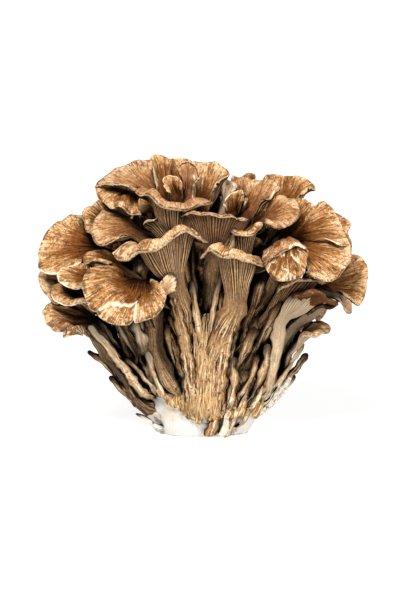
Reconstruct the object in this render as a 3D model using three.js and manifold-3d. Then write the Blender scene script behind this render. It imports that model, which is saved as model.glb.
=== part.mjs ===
// A maitake (hen of the woods) cluster as cut from its bed: one core, the white butt with the main
// stem grown on its front, and the fronds and short shoots that branch from it. Each frond is one
// grown piece, a flattened stem that opens into a thin fan-shaped cap, and it pulls off by hand. The
// sturdier stems at the sides and back also bear young leaves of their own.
// Millimetres, +Z up, the front at -Y. The origin is the middle of the cut face that it stands on.
import * as THREE from 'three';
import { mergeVertices } from 'three/addons/utils/BufferGeometryUtils.js';
import Module from 'manifold-3d';

// Driving dimensions
const BOARD_LEAN = THREE.MathUtils.degToRad(12); // the front fronds are set out on a board that leans back
const GAP = 0.35; // left between two grown pieces, which touch in the real cluster
const MARGIN_STEP = 9; // one column of faces across a cap for about this much of its rim
const SLIVER = 0.15; // detail finer than this is closed up after a cut

const SKINS = {
  flesh: { color: 0xe8dfcc, roughness: 0.7 },
  cap: { color: 0x9a6b3d, roughness: 0.75 },
  shoot: { color: 0xb08a60, roughness: 0.75 },
};

// The core, as level ellipses: height, half width in X, half depth in Y, and the centre in X and Y.
const BUTT_LEVELS = [
  [0, 28, 24, -1.5, -3],
  [5, 31, 26, -1, -2.5],
  [15, 37, 27, 0, -1],
  [21, 40, 27, 0, 0],
  [31, 37, 27, -1, 1],
  [46, 27, 23, -1, 2],
  [62, 17, 17, 0, 3],
  [80, 7, 8, 0, 4],
];
const MAIN_STEM_LEVELS = [
  [8, 8, 5, 1, -19],
  [14, 11.5, 9, 0.5, -21],
  [26, 12.5, 10, 0.5, -21],
  [40, 11.5, 9, 1, -22],
  [52, 8, 6.5, 1.5, -23],
  [62, 5, 4, 2, -23],
  [70, 2.5, 2, 2, -23],
];
const LEVEL_POINTS = 20;
const GROUND_POWER = 3.2; // 2 is an ellipse, and more is squarer
const ROUND_ABOVE = 40; // where the levels are ellipses again

// Fronds at the front, in the order in which they keep their full shape where two would meet.
// Points are [right, up, out] on the leaning board, and out is towards the front.
//   margin: the rim of the cap, from one side to the other     top: the way its brown skin faces
//   roll: the crest's share of the way back to the neck, and its rise over the rim
//   belly: how far the middle of each ray bulges towards the skin side
//   flare: the share by which the flanks are drawn in, so that they curve out like a trumpet's
//   stem: half width and half thickness at the root, then the same at the neck
//   ruffle: height, waves across, and where the first wave starts
const FRONT_FRONDS = [
  {
    name: 'frond_front_left_disc', root: [-17, 24, 30], through: [[-27, 44, 38]], neck: [-34, 79.5, 47],
    top: [0, 0.8, 0.6],
    margin: [
      [-24, 81, 56], [-20, 74, 64], [-24, 63.5, 71], [-33, 59, 75], [-45, 57, 77], [-54, 60.5, 76],
      [-60, 66, 73], [-65, 75, 67], [-65.5, 84, 60], [-60, 90, 52], [-52, 90, 46],
    ],
    roll: [0.42, 3.2], belly: -1.5, stem: [5.5, 3.5, 8, 3], ruffle: [0.35, 4, 0],
  },
  {
    name: 'frond_centre_left_trumpet', root: [-8, 42, 28], neck: [-15.5, 80, 50], top: [0, 0.95, -0.2],
    margin: [
      [3, 103, 60], [-3, 104.5, 64], [-8, 108, 66], [-12, 107.5, 67], [-17, 104, 69], [-23, 99, 71],
      [-29, 97, 72], [-36, 97, 71], [-41, 93, 69], [-47, 93, 65], [-50, 97, 59],
    ],
    roll: [0.22, 9], belly: -3, flare: 0.35, stem: [6, 4, 5.6, 3.4], ruffle: [0.3, 3, 1],
  },
  {
    name: 'frond_right_centre_trumpet', root: [5, 38, 34], through: [[10.5, 53, 40.5]], neck: [17.5, 70, 47],
    top: [0, 0.95, -0.2],
    margin: [
      [34, 90, 55], [31, 89.5, 62], [26, 91, 66], [20, 94, 68], [12, 94.5, 69], [4, 98, 66],
      [1, 96, 62], [-2, 94, 58],
    ],
    roll: [0.2, 8.5], belly: -2, flare: 0.35, stem: [7, 4, 6.4, 3.4], ruffle: [0.25, 3, 0],
  },
  {
    name: 'frond_centre_gilled_fan', root: [3, 56, 22], neck: [5.5, 100, 42], top: [0, 0.98, -0.15],
    margin: [
      [25, 116, 50], [20, 116.5, 55], [13, 117, 58], [5, 117.3, 59], [-1, 118, 57], [-6, 119.3, 54],
      [-13, 116, 49],
    ],
    roll: [0.12, 2], belly: -2, flare: 0.2, stem: [5, 3, 5, 2.6], ruffle: [0.4, 3, 0],
  },
  {
    name: 'frond_centre_upper_fan', root: [-6, 58, 20], neck: [-16, 108, 38], top: [0, 0.95, -0.25],
    margin: [
      [6, 125.3, 40], [0, 123.5, 46], [-6, 121, 50], [-13, 120.3, 54], [-20, 121.5, 55],
      [-26, 124, 54], [-31, 128, 51], [-36, 130, 47], [-38, 131.5, 42],
    ],
    roll: [0.2, 5.5], belly: -2, flare: 0.2, stem: [5, 3, 5.5, 2.6], ruffle: [0.5, 4, 2],
  },
  {
    name: 'frond_right_cracked_disc', root: [19, 36, 26], neck: [45, 100, 42], top: [0.1, 0.35, 0.93],
    margin: [
      [32, 98, 50], [33, 90, 57], [37, 83.5, 61], [43, 81, 63], [49, 82.5, 62], [55, 85.5, 59],
      [58, 92, 54], [57, 99, 48],
    ],
    roll: [0.4, 7], belly: 6, stem: [5, 3, 5, 3.2], ruffle: [0.5, 6, 0],
  },
  {
    name: 'frond_right_inner_cup', root: [17, 44, 20], neck: [42, 84, 36], top: [0.1, 0.9, 0.3],
    margin: [
      [33, 97, 46], [38, 99.5, 50], [45, 101, 53], [51, 101, 53], [56, 97.5, 50], [58, 94, 44],
    ],
    roll: [0.3, 4.5], belly: -1, stem: [4.5, 2.8, 5, 2.5], ruffle: [0.3, 3, 0],
  },
  {
    name: 'frond_right_mid_fan', root: [8, 60, 22], neck: [22, 97, 38], top: [0, 0.95, 0],
    margin: [
      [33, 115, 44], [31, 111.5, 49], [27, 108.7, 52], [21, 107.8, 54], [16, 109, 52], [12.5, 111.5, 46],
    ],
    roll: [0.35, 5], belly: -1, flare: 0.2, stem: [4.5, 2.8, 5, 2.4], ruffle: [0.4, 3, 0],
  },
  {
    name: 'frond_right_upper_disc', root: [10, 64, 18], neck: [33, 113, 34], top: [0.1, 0.6, 0.8],
    margin: [
      [34, 115, 46], [37, 111.5, 49], [42, 110.3, 50], [47, 111.3, 49], [51, 114.5, 47], [53.5, 119, 43],
      [52.5, 124, 38], [48, 128.5, 33], [42, 129.5, 30], [37, 128, 28],
    ],
    roll: [0.3, 3.5], belly: 1, stem: [4.5, 2.8, 5, 2.6], ruffle: [0.6, 5, 1],
  },
  {
    name: 'frond_right_shell_lower', root: [26, 36, 14], neck: [50, 97, 30], top: [0.3, 0.3, 0.9],
    margin: [
      [57, 86.5, 50], [61, 83, 51], [66, 80.5, 51], [72, 82, 49], [78, 88, 45], [81.5, 95, 40],
      [82, 101, 34], [79, 107, 27], [72, 113, 22],
    ],
    roll: [0.3, 4], belly: 4, stem: [6, 3.5, 6, 3], ruffle: [0.5, 4, 0],
  },
  {
    name: 'frond_right_shell_upper', root: [22, 46, 12], neck: [50, 105, 24], top: [0.3, 0.45, 0.8],
    margin: [
      [75, 101.5, 42], [82, 101, 34], [80, 107, 31], [77, 113, 30], [72.5, 121, 28], [66, 126, 25],
      [61.5, 123.5, 24],
    ],
    roll: [0.3, 4], belly: 4, stem: [5.5, 3, 6, 2.8], ruffle: [0.5, 3, 1],
  },
  {
    name: 'frond_upper_left_cap', root: [-13, 50, 20], neck: [-37, 108, 34], top: [-0.2, 0.5, 0.8],
    margin: [
      [-46, 105, 48], [-51, 102.3, 51], [-57, 101, 51], [-60.5, 104, 48], [-61.5, 110, 43],
      [-60, 116, 38], [-56, 120.8, 33], [-51, 122, 29], [-45, 119, 26],
    ],
    roll: [0.3, 2.5], belly: 2, stem: [5.5, 3, 5.5, 2.8], ruffle: [0.6, 4, 0],
  },
  {
    name: 'frond_left_inner_curl', root: [-18, 42, 22], neck: [-45, 88, 38], top: [-0.1, 0.7, 0.6],
    margin: [
      [-52, 90.5, 50], [-59, 92.5, 50], [-65, 92, 46], [-65, 96, 42], [-60, 98.7, 38], [-53, 98, 34],
    ],
    roll: [0.3, 2], belly: 1, stem: [4.5, 2.6, 4.5, 2.2], ruffle: [0.3, 3, 0],
  },
  {
    name: 'frond_left_small_disc', root: [-25, 26, 26], through: [[-37, 48, 33]], neck: [-63, 82, 42],
    top: [-0.2, 0.3, 0.9],
    margin: [
      [-66, 78, 54], [-70, 77.5, 55], [-76, 79, 54], [-80, 82.5, 51], [-80, 87.5, 48], [-73, 91, 45],
      [-66, 93, 42], [-60, 93, 40],
    ],
    roll: [0.35, 2.5], belly: 1, stem: [4.2, 2.5, 4, 2.2], ruffle: [0.3, 3, 0],
  },
  {
    name: 'frond_left_cup', root: [-29, 20, 20], through: [[-40, 38, 26]], neck: [-60, 74, 36],
    top: [-0.2, 0.6, 0.7],
    margin: [
      [-60, 70.5, 49], [-66, 69.5, 50], [-72, 68, 50], [-78, 68.7, 48], [-83, 72, 44], [-83.5, 77, 39],
      [-78, 81, 35],
    ],
    roll: [0.25, 2.5], belly: -2, stem: [4.5, 2.5, 4.5, 2.2], ruffle: [0.4, 3, 1],
  },
  {
    name: 'frond_left_large', root: [-27, 34, 8], neck: [-57, 97, 24], top: [-0.3, 0.4, 0.9],
    margin: [
      [-68, 89.5, 45], [-75, 88.8, 46], [-82, 86, 45], [-89.5, 86.5, 41], [-91.5, 94, 37],
      [-90, 103, 33], [-84, 112, 29], [-75, 118.5, 24], [-66, 118.5, 19],
    ],
    roll: [0.3, 3], belly: 4, stem: [6.5, 3.5, 6.5, 3], ruffle: [0.6, 4, 0],
  },
  {
    name: 'frond_left_edge_fold', root: [-34, 26, 10], through: [[-48, 46, 18]], neck: [-68, 74, 28],
    top: [-0.4, 0.5, 0.7],
    margin: [
      [-78, 72, 40], [-82, 70, 39], [-87, 74, 37], [-91, 80, 33], [-91, 86.5, 29], [-85, 91, 26],
    ],
    roll: [0.25, 2], belly: 1, stem: [4.5, 2.6, 4.5, 2.2], ruffle: [0.5, 3, 0],
  },
  {
    name: 'frond_left_low_ruffle', root: [-33, 15, 20], through: [[-42.5, 29, 26], [-52.5, 44, 30]],
    neck: [-62, 57, 30], top: [-0.2, 0.8, 0.5],
    margin: [
      [-66, 51.5, 38], [-71, 52, 41], [-76, 50.5, 43], [-81, 52.5, 43], [-86, 57, 42],
      [-89.5, 62.5, 39], [-88.5, 68, 35], [-83, 72, 31], [-75, 73.5, 28],
    ],
    roll: [0.25, 4], belly: 0, stem: [6.5, 2.8, 9, 2.6], ruffle: [1.2, 5, 0],
  },
  {
    name: 'frond_top_left_large', root: [-10, 66, 14], neck: [-27, 127, 22], top: [-0.3, 0.6, 0.7],
    margin: [
      [-39, 130, 46], [-42, 132, 46], [-47, 134.6, 44], [-54, 135, 40], [-60, 132.5, 35],
      [-56, 139, 30], [-50, 143.7, 24], [-42, 147.2, 18], [-35, 149.7, 13], [-28, 150, 9],
    ],
    roll: [0.3, 2], belly: 3, stem: [5.5, 3.2, 5.5, 2.8], ruffle: [0.5, 4, 0],
  },
  {
    name: 'frond_top_left_under', root: [-12, 60, 16], neck: [-35, 133, 20], top: [-0.3, 0.55, 0.8],
    margin: [
      [-34, 117, 44], [-38, 117.5, 45], [-42, 119, 45.5], [-47, 122, 45], [-52, 121.5, 42.5],
      [-57, 125.5, 38], [-59.5, 131.5, 33], [-55, 136, 27],
    ],
    roll: [0.4, 4], belly: 1, stem: [4.5, 2.6, 5, 2.4], ruffle: [1, 4, 1],
  },
  {
    name: 'frond_upper_left_back', root: [-18, 48, 8], neck: [-46, 108, 22], top: [-0.3, 0.6, 0.7],
    margin: [
      [-61, 107, 38], [-64.5, 108.5, 36], [-66, 113, 32], [-67, 119, 27], [-64, 123.5, 23],
      [-58, 125.3, 19], [-52, 125, 16],
    ],
    roll: [0.25, 2], belly: 1, stem: [5.5, 3, 5.5, 2.6], ruffle: [0.9, 4, 0],
  },
  {
    name: 'frond_centre_small_leaf', root: [-10, 62, 26], neck: [-18, 104, 34], top: [0, 0.9, -0.4],
    margin: [[-19, 115, 44], [-24, 116.8, 44], [-28, 115, 44], [-33.5, 113, 42], [-31, 109.5, 36]],
    roll: [0.2, 1], belly: 0, stem: [2.5, 2, 3, 1.8], ruffle: [0.3, 2, 0],
  },
  {
    name: 'frond_top_centre_gold', root: [2, 70, 16], neck: [-1, 120, 16], top: [0, 0.3, 0.95],
    margin: [
      [7, 133, 24], [11, 138.5, 22], [13.7, 142, 19], [12, 145.5, 15], [7, 148, 12], [0, 147.5, 9],
      [-6, 148.7, 6], [-10, 148, 4],
    ],
    roll: [0.25, 1.5], belly: -1, stem: [4, 3, 4.5, 2.6], ruffle: [0.5, 3, 0],
  },
  {
    name: 'frond_top_rounded_leaf', root: [-4, 70, 20], neck: [-8, 125, 27], top: [0, 0.2, 0.98],
    margin: [
      [-4, 136, 31], [-2.6, 140, 29], [-4.5, 145.5, 25], [-8, 147.8, 22], [-12, 146.5, 22],
      [-14.3, 142, 24],
    ],
    roll: [0.3, 1.5], belly: -1, stem: [2.8, 2.2, 3, 2], ruffle: [0.3, 2, 0],
  },
  {
    name: 'frond_top_folded_leaf', root: [-6, 68, 20], neck: [-13.5, 125, 28], top: [0.1, 0.2, 0.95],
    margin: [
      [-11.3, 134, 31], [-14, 139.7, 29], [-19, 141, 28], [-22.3, 138.5, 29], [-20.5, 131, 33],
    ],
    roll: [0.25, 1.5], belly: -2, stem: [2.8, 2.2, 3, 2], ruffle: [0.4, 3, 0],
  },
  {
    name: 'frond_top_left_striped', root: [-6, 68, 12], neck: [-22, 128, 14], top: [0, 0.2, 0.95],
    margin: [[-17, 149.5, 6], [-22, 151.5, 5], [-27, 152.7, 6], [-30, 150, 9], [-30.5, 144, 13]],
    roll: [0.2, 1], belly: -2, stem: [3, 2.4, 3.6, 2.2], ruffle: [0.3, 2, 0],
  },
  {
    name: 'frond_top_back_leaf', root: [-2, 68, 10], neck: [-11, 126, 7], top: [0, 0.3, 0.9],
    margin: [
      [-3, 147.5, 0], [-7, 149.3, -1], [-12, 150.7, -1], [-19, 149.7, 0], [-24, 147.5, 1],
    ],
    roll: [0.2, 1], belly: -1, stem: [3, 2.4, 3.4, 2.2], ruffle: [0.3, 2, 0],
  },
  {
    name: 'frond_top_pale_lump', root: [6, 68, 12], neck: [12, 124, 13], top: [0, 0.5, 0.8],
    margin: [[18, 133, 17], [18.5, 137, 14], [14, 138.5, 12], [9.5, 137, 12], [8, 133, 14]],
    roll: [0.3, 1], belly: 1, stem: [2.6, 2.2, 3, 2], ruffle: [0.4, 3, 0],
  },
  {
    name: 'frond_top_small_cup', root: [8, 66, 20], neck: [15, 117, 27], top: [0, 0.3, 0.95],
    margin: [[22, 126, 34], [22, 132, 31], [17, 131.5, 31], [12.5, 128.5, 32], [10.7, 124, 33]],
    roll: [0.25, 0.5], belly: -2.5, stem: [2.6, 2, 3, 1.8], ruffle: [0.2, 2, 0],
  },
  {
    name: 'frond_top_right_fold', root: [10, 66, 18], neck: [23, 116, 26], top: [0, 0.5, 0.8],
    margin: [
      [34, 128, 38], [39, 129.5, 35], [42.3, 133.5, 31], [40, 137.3, 27], [35, 138.7, 24], [28, 138.3, 23],
      [24.5, 134.5, 26], [22.5, 126, 31],
    ],
    roll: [0.3, 2], belly: 0, stem: [3, 2.4, 3.5, 2.4], ruffle: [0.9, 4, 0],
  },
  {
    name: 'frond_top_right_fan', root: [12, 64, 10], neck: [43, 118, 10], top: [0, 0.6, 0.8],
    margin: [
      [56, 129.5, 20], [60, 132.5, 18], [63, 133.5, 14], [58.5, 138, 10], [52, 140.3, 7], [44, 141.8, 4],
      [36, 142.6, 3], [33, 138, 6],
    ],
    roll: [0.2, 2], belly: 1, stem: [4, 3, 4.5, 2.6], ruffle: [0.5, 3, 0],
  },
  {
    name: 'frond_top_right_grey', root: [8, 66, 8], neck: [21, 122, 8], top: [0, 0.5, 0.8],
    margin: [[28.5, 138, 9], [25, 140.5, 6], [20, 140.5, 5], [16, 141, 6], [15.5, 137, 9]],
    roll: [0.25, 1], belly: 0, stem: [3, 2.4, 3.4, 2.2], ruffle: [0.4, 3, 0],
  },
  {
    name: 'frond_right_upper_leaf', root: [16, 56, 12], neck: [47, 108, 22], top: [0.2, 0.5, 0.8],
    margin: [[59, 116, 33], [61.5, 123, 28], [57, 127, 24], [50, 129, 20]],
    roll: [0.25, 2], belly: 1, stem: [4.5, 2.8, 5, 2.4], ruffle: [0.6, 3, 0],
  },
  {
    name: 'frond_right_back_shell', root: [24, 44, 4], neck: [56, 100, 14], top: [0.4, 0.5, 0.7],
    margin: [
      [80, 95, 28], [82.5, 102, 25], [81, 108, 23], [82, 113, 21], [78, 117, 20], [72, 122, 19],
    ],
    roll: [0.2, 2], belly: 2, stem: [5.5, 3, 5.5, 2.6], ruffle: [0.5, 4, 0],
  },
  {
    name: 'frond_right_arch', root: [33, 17, 22], through: [[38, 32, 29], [41, 48, 34]], neck: [44, 61, 38],
    top: [0.2, 0.95, -0.1],
    margin: [
      [74.5, 71, 40], [74, 68, 46], [70, 70.5, 51], [65, 74.5, 54], [58, 73.5, 54], [52, 73, 51],
      [48, 72, 45],
    ],
    roll: [0.3, 5], belly: 0, stem: [3.8, 2.8, 3.6, 2.1], ruffle: [0.3, 3, 0],
  },
  {
    name: 'frond_right_arch_lip', root: [34, 20, 12], through: [[42, 39, 19]], neck: [50, 56, 26],
    top: [0.1, 0.95, 0],
    margin: [
      [74.5, 69, 34], [74, 67.5, 38], [70, 66, 40], [64, 66.5, 41], [57, 63, 39],
    ],
    roll: [0.2, 3], belly: 0, stem: [4.5, 2.6, 4.5, 2.2], ruffle: [0.3, 2, 0],
  },
  {
    name: 'frond_right_outer_leaf', root: [30, 30, 6], neck: [64, 79, 18], top: [0.3, 0.2, 0.95],
    margin: [
      [77, 75, 34], [82, 72, 33], [86.5, 68, 31], [89.5, 73, 27], [91.5, 80, 23], [91.3, 88, 19],
      [89, 95, 16], [85, 97, 14], [79, 95.5, 13],
    ],
    roll: [0.2, 1.5], belly: 1, stem: [6, 3, 6, 2.6], ruffle: [0.6, 4, 0],
  },
  {
    name: 'frond_right_tongue', root: [34, 26, 10], neck: [72, 74, 30], top: [0.6, 0.6, 0.4],
    margin: [[77.5, 67, 38], [79, 63.3, 39], [82.3, 63.5, 38], [82, 69, 35]],
    roll: [0.3, 1.5], belly: 1, stem: [3.5, 2.4, 3, 1.8], ruffle: [0.2, 2, 0],
  },
  {
    name: 'frond_right_thin_arch', root: [22, 40, 14], neck: [38, 64, 34], top: [0, 0.95, -0.1],
    margin: [[68, 80, 38], [64, 81, 44], [58, 82.3, 48], [51, 81.5, 49], [45, 78.5, 48], [41, 75, 45]],
    roll: [0.15, 3], belly: 0, stem: [5, 2.6, 5, 2.2], ruffle: [0.4, 3, 0],
  },
  {
    name: 'frond_right_low_tongue', root: [33, 14, 12], through: [[43.5, 29, 18]], neck: [51.5, 46, 24],
    top: [0.2, 0.8, 0.5],
    margin: [
      [53, 50.5, 36], [58, 51.5, 38], [63, 51.3, 38], [66, 53, 37], [70, 54, 34], [69, 58.5, 30],
      [64, 60.5, 27], [58, 59.5, 24],
    ],
    roll: [0.35, 4], belly: 1, stem: [5.5, 2.8, 5.5, 2.4], ruffle: [0.4, 3, 0],
  },
];

// Fronds round the sides and back, each turned to its azimuth from the front, counted to the right.
// Root, neck and rim are [distance from the axis, height]. Span is half the cap's angle.
const RING_FRONDS = [
  { name: 'frond_back_low_right', azimuth: 119, neck: [47, 62], rim: [77, 66], span: 24, droop: 8 },
  { name: 'frond_back_low_middle', azimuth: 159, neck: [45, 56], rim: [71, 60], span: 28, droop: 8 },
  { name: 'frond_back_low_left', azimuth: 203, neck: [45, 58], rim: [72, 63], span: 28, droop: 8 },
  { name: 'frond_back_low_far_left', azimuth: 242, neck: [48, 60], rim: [78, 64], span: 24, droop: 8 },
  { name: 'frond_back_mid_right', azimuth: 134, neck: [40, 88], rim: [73, 91], span: 29, droop: 10 },
  { name: 'frond_back_mid_middle', azimuth: 181, neck: [37, 84], rim: [67, 90], span: 33, droop: 10 },
  { name: 'frond_back_mid_left', azimuth: 228, neck: [40, 90], rim: [74, 94], span: 29, droop: 10 },
  { name: 'frond_back_high_right', azimuth: 146, neck: [24, 114], rim: [55, 120], span: 38, droop: 10 },
  { name: 'frond_back_high_left', azimuth: 207, neck: [22, 114], rim: [54, 123], span: 40, droop: 10 },
];
const RING_ROOT = [20, 30];
const RING_STEM = [5.5, 3.2, 6.5, 2.8];

// Young leaves deep inside, in rings that close the room between the caps. Each ring is an oval on
// the board: its height, the half width, the depth in front of the board's face and behind it, how
// many leaves, and how far round they go to each side of the front, in degrees.
const LEAF_RINGS = [
  { up: 141, half: 27, front: -8, back: -26, leaves: 8, arc: 180 },
  { up: 132, half: 44, front: 0, back: -32, leaves: 12, arc: 180 },
  { up: 121, half: 57, front: 10, back: -34, leaves: 15, arc: 180 },
  { up: 107, half: 64, front: 13, back: -32, leaves: 10, arc: 105 },
  { up: 93, half: 66, front: 14, back: -30, leaves: 10, arc: 105 },
  { up: 79, half: 62, front: 12, back: -28, leaves: 9, arc: 100 },
  { up: 66, half: 54, front: 8, back: -24, leaves: 8, arc: 95 },
];
const LEAF_SIZE = [11, 13]; // half width and height
const LEAF_ROWS = { stem: [0, 0.6], cap: [0, 0.5, 1], columns: 4 };
const FROND_ROWS = { stem: [0, 0.35, 0.7], cap: [0, 0.25, 0.5, 0.75, 0.94, 1] };
const BEARING_STALK = 4; // half width of the thinnest stalk that bears young leaves
const STALKS_TRIED = 6; // nearest stalks from which a young leaf may grow
const LEAST_LEAF = 0.3; // share of a young leaf that must be left between its neighbours

// Short shoots with no cap: root, tip, a push to one side at the middle, and the half width at each.
const SHOOTS = [
  { name: 'shoot_main_stem_left', root: [-6, 44, 36], tip: [-19, 63, 44], bow: [-1, -1, 1],
    half: [3, 1.6] },
  { name: 'shoot_main_stem_pale', root: [-1.5, 50, 36], tip: [-6.7, 82, 42], bow: [-1, 0, 1],
    half: [2.8, 2] },
  { name: 'shoot_main_stem_tall', root: [4.5, 52, 37], tip: [9.7, 85, 42], bow: [-1.5, 0, 1],
    half: [3, 1.5] },
  { name: 'shoot_main_stem_short', root: [8.5, 50, 38], tip: [10.6, 75.5, 44], bow: [0, 0, 0],
    half: [2.4, 1.2] },
  { name: 'shoot_left_tip', root: [-42, 22, 18], tip: [-64, 43, 24], bow: [1, 4, 0],
    half: [2.6, 1.6] },
  { name: 'shoot_left_low', root: [-32, 14, 20], tip: [-52, 29, 24], bow: [-2, -4, 0],
    half: [3.2, 1.6] },
  { name: 'shoot_left_stub', root: [-26, 1, 20], tip: [-37.5, 8.2, 22], bow: [0, 2, 0],
    half: [1.6, 1.1] },
  { name: 'shoot_right_finger', root: [32, 10, 16], tip: [58, 41.5, 24], bow: [1, 0, 0],
    half: [3.4, 1.8] },
  { name: 'shoot_right_low', root: [34, 12, 10], tip: [51, 29.5, 18], bow: [1, -2, 0],
    half: [3, 1.6] },
];

// Shape building

// A point or direction on the leaning board, in the part's own frame.
function onBoard([right, up, out]) {
  const c = Math.cos(BOARD_LEAN);
  const s = Math.sin(BOARD_LEAN);
  return new THREE.Vector3(right, up * s - out * c, up * c + out * s);
}

// A point at an azimuth in degrees from the front, a distance from the axis and a height.
function roundAxis(azimuth, [distance, height]) {
  const turn = THREE.MathUtils.degToRad(azimuth);
  return new THREE.Vector3(distance * Math.sin(turn), -distance * Math.cos(turn), height);
}

// A closed loop of 2n points per ring, carried along the rings and capped at both ends. Point 0 and
// point n are the two edges of the strip, with the top side between them and the underside after.
function loft(rings) {
  const count = rings[0].length;
  const half = count / 2;
  const faces = [];
  for (let i = 0; i + 1 < rings.length; i++) {
    for (let j = 0; j < count; j++) {
      const a = i * count + j;
      const b = i * count + ((j + 1) % count);
      faces.push(a, b, a + count, b, b + count, a + count);
    }
  }
  const last = (rings.length - 1) * count;
  for (let j = 0; j < half; j++) {
    const near = (count - j) % count;
    const far = (count - j - 1) % count;
    if (j > 0) faces.push(j, near, j + 1, last + j, last + j + 1, last + near);
    if (j + 1 < half) faces.push(j + 1, near, far, last + j + 1, last + far, last + near);
  }
  const geometry = new THREE.BufferGeometry().setFromPoints(rings.flat());
  geometry.setIndex(faces);
  return geometry;
}

// The places across a strip, -1 to 1, closer together towards its edges.
function acrossSteps(columns) {
  return Array.from({ length: columns + 1 }, (_, j) => {
    const s = (2 * j) / columns - 1;
    return 0.55 * s + 0.45 * Math.sin((s * Math.PI) / 2);
  });
}

// One ring round a strip: its middle line of points, thickened along their normals by an amount
// that falls to nothing at both edges, more squarely as squareness grows.
function ringAround(points, normals, across, thickness, squareness) {
  const rise = across.map((v) => thickness * Math.sqrt(Math.max(0, 1 - Math.abs(v) ** squareness)));
  const top = points.map((p, j) => p.clone().addScaledVector(normals[j], rise[j]));
  const under = points.map((p, j) => p.clone().addScaledVector(normals[j], -rise[j]));
  return [...top, ...under.slice(1, -1).reverse()];
}

// A frond's own working frame: its rim curve ordered so that the skin side is on top, the line
// across its neck, and the way its stem heads there.
function settle(frond) {
  let rim = new THREE.CatmullRomCurve3(frond.margin, false, 'catmullrom', 0.5);
  const middle = rim.getPointAt(0.5);
  const outward = middle.clone().sub(frond.neck).normalize();
  const chord = rim.getPointAt(1).sub(rim.getPointAt(0));
  if (chord.clone().cross(outward).dot(frond.top) < 0) {
    rim = new THREE.CatmullRomCurve3([...frond.margin].reverse(), false, 'catmullrom', 0.5);
    chord.negate();
  }
  const crest = crestPoint(frond, middle);
  const heading = frond.neck.clone().sub(frond.root).normalize();
  heading.add(crest.sub(frond.neck).normalize()).normalize();
  const side = chord.addScaledVector(heading, -chord.dot(heading)).normalize();
  return { ...frond, rim, heading, side };
}

// The highest point of the ray that ends at a rim point.
function crestPoint(frond, rimPoint) {
  return rimPoint.clone().lerp(frond.neck, frond.roll[0]).addScaledVector(frond.top, frond.roll[1]);
}

// Draws a point towards the frond's middle by a share of its distance sideways from the neck.
function drawIn(point, frond, share) {
  const sideways = point.clone().sub(frond.neck).dot(frond.side);
  point.addScaledVector(frond.side, -sideways * share);
}

// A point on the cap's middle surface. Along runs from 0 at the neck to 1 at the rim, and each ray
// passes the neck, a waist, the crest and the rim as a cubic Hermite curve.
function capPoint(frond, across, along) {
  const start = frond.neck.clone().addScaledVector(frond.side, across * frond.stem[2]);
  const rim = frond.rim.getPointAt((across + 1) / 2);
  const crest = crestPoint(frond, rim);
  const waist = start.clone().lerp(crest, 0.5).addScaledVector(frond.top, frond.belly);
  drawIn(waist, frond, frond.flare ?? 0);
  drawIn(crest, frond, (frond.flare ?? 0) / 2);
  const knots = [start, waist, crest, rim];
  const slopes = [
    frond.heading.clone().multiplyScalar(waist.distanceTo(start)),
    crest.clone().sub(start).multiplyScalar(0.5),
    rim.clone().sub(waist).multiplyScalar(0.5),
    rim.clone().sub(crest).multiplyScalar(1.1),
  ];
  const k = Math.min(2, Math.floor(along * 3));
  const t = along * 3 - k;
  return hermite(knots[k], slopes[k], knots[k + 1], slopes[k + 1], t);
}

function hermite(from, fromSlope, to, toSlope, t) {
  const t2 = t * t;
  const t3 = t2 * t;
  return new THREE.Vector3()
    .addScaledVector(from, 2 * t3 - 3 * t2 + 1)
    .addScaledVector(fromSlope, t3 - 2 * t2 + t)
    .addScaledVector(to, 3 * t2 - 2 * t3)
    .addScaledVector(toSlope, t3 - t2);
}

// The cap's normal on its skin side, from two short steps over the surface.
function capNormal(frond, across, along) {
  const step = 0.02;
  const v0 = Math.max(-1, across - step);
  const v1 = Math.min(1, across + step);
  const u0 = Math.max(0, along - step);
  const u1 = Math.min(1, along + step);
  const sideways = capPoint(frond, v1, along).sub(capPoint(frond, v0, along));
  const outwards = capPoint(frond, across, u1).sub(capPoint(frond, across, u0));
  return sideways.cross(outwards).normalize();
}

// The stem's centre line: out of the core, through the root, and into the neck along the heading.
function stemCurve(frond) {
  const { root, through = [], neck, heading } = frond;
  const seat = frond.seat ?? new THREE.Vector3(root.x * 0.4, root.y * 0.4, root.z - 12);
  const shoulder = neck.clone().addScaledVector(heading, -neck.distanceTo(through.at(-1) ?? root) * 0.3);
  return new THREE.CatmullRomCurve3([seat, root, ...through, shoulder, neck], false, 'catmullrom', 0.5);
}

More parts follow.
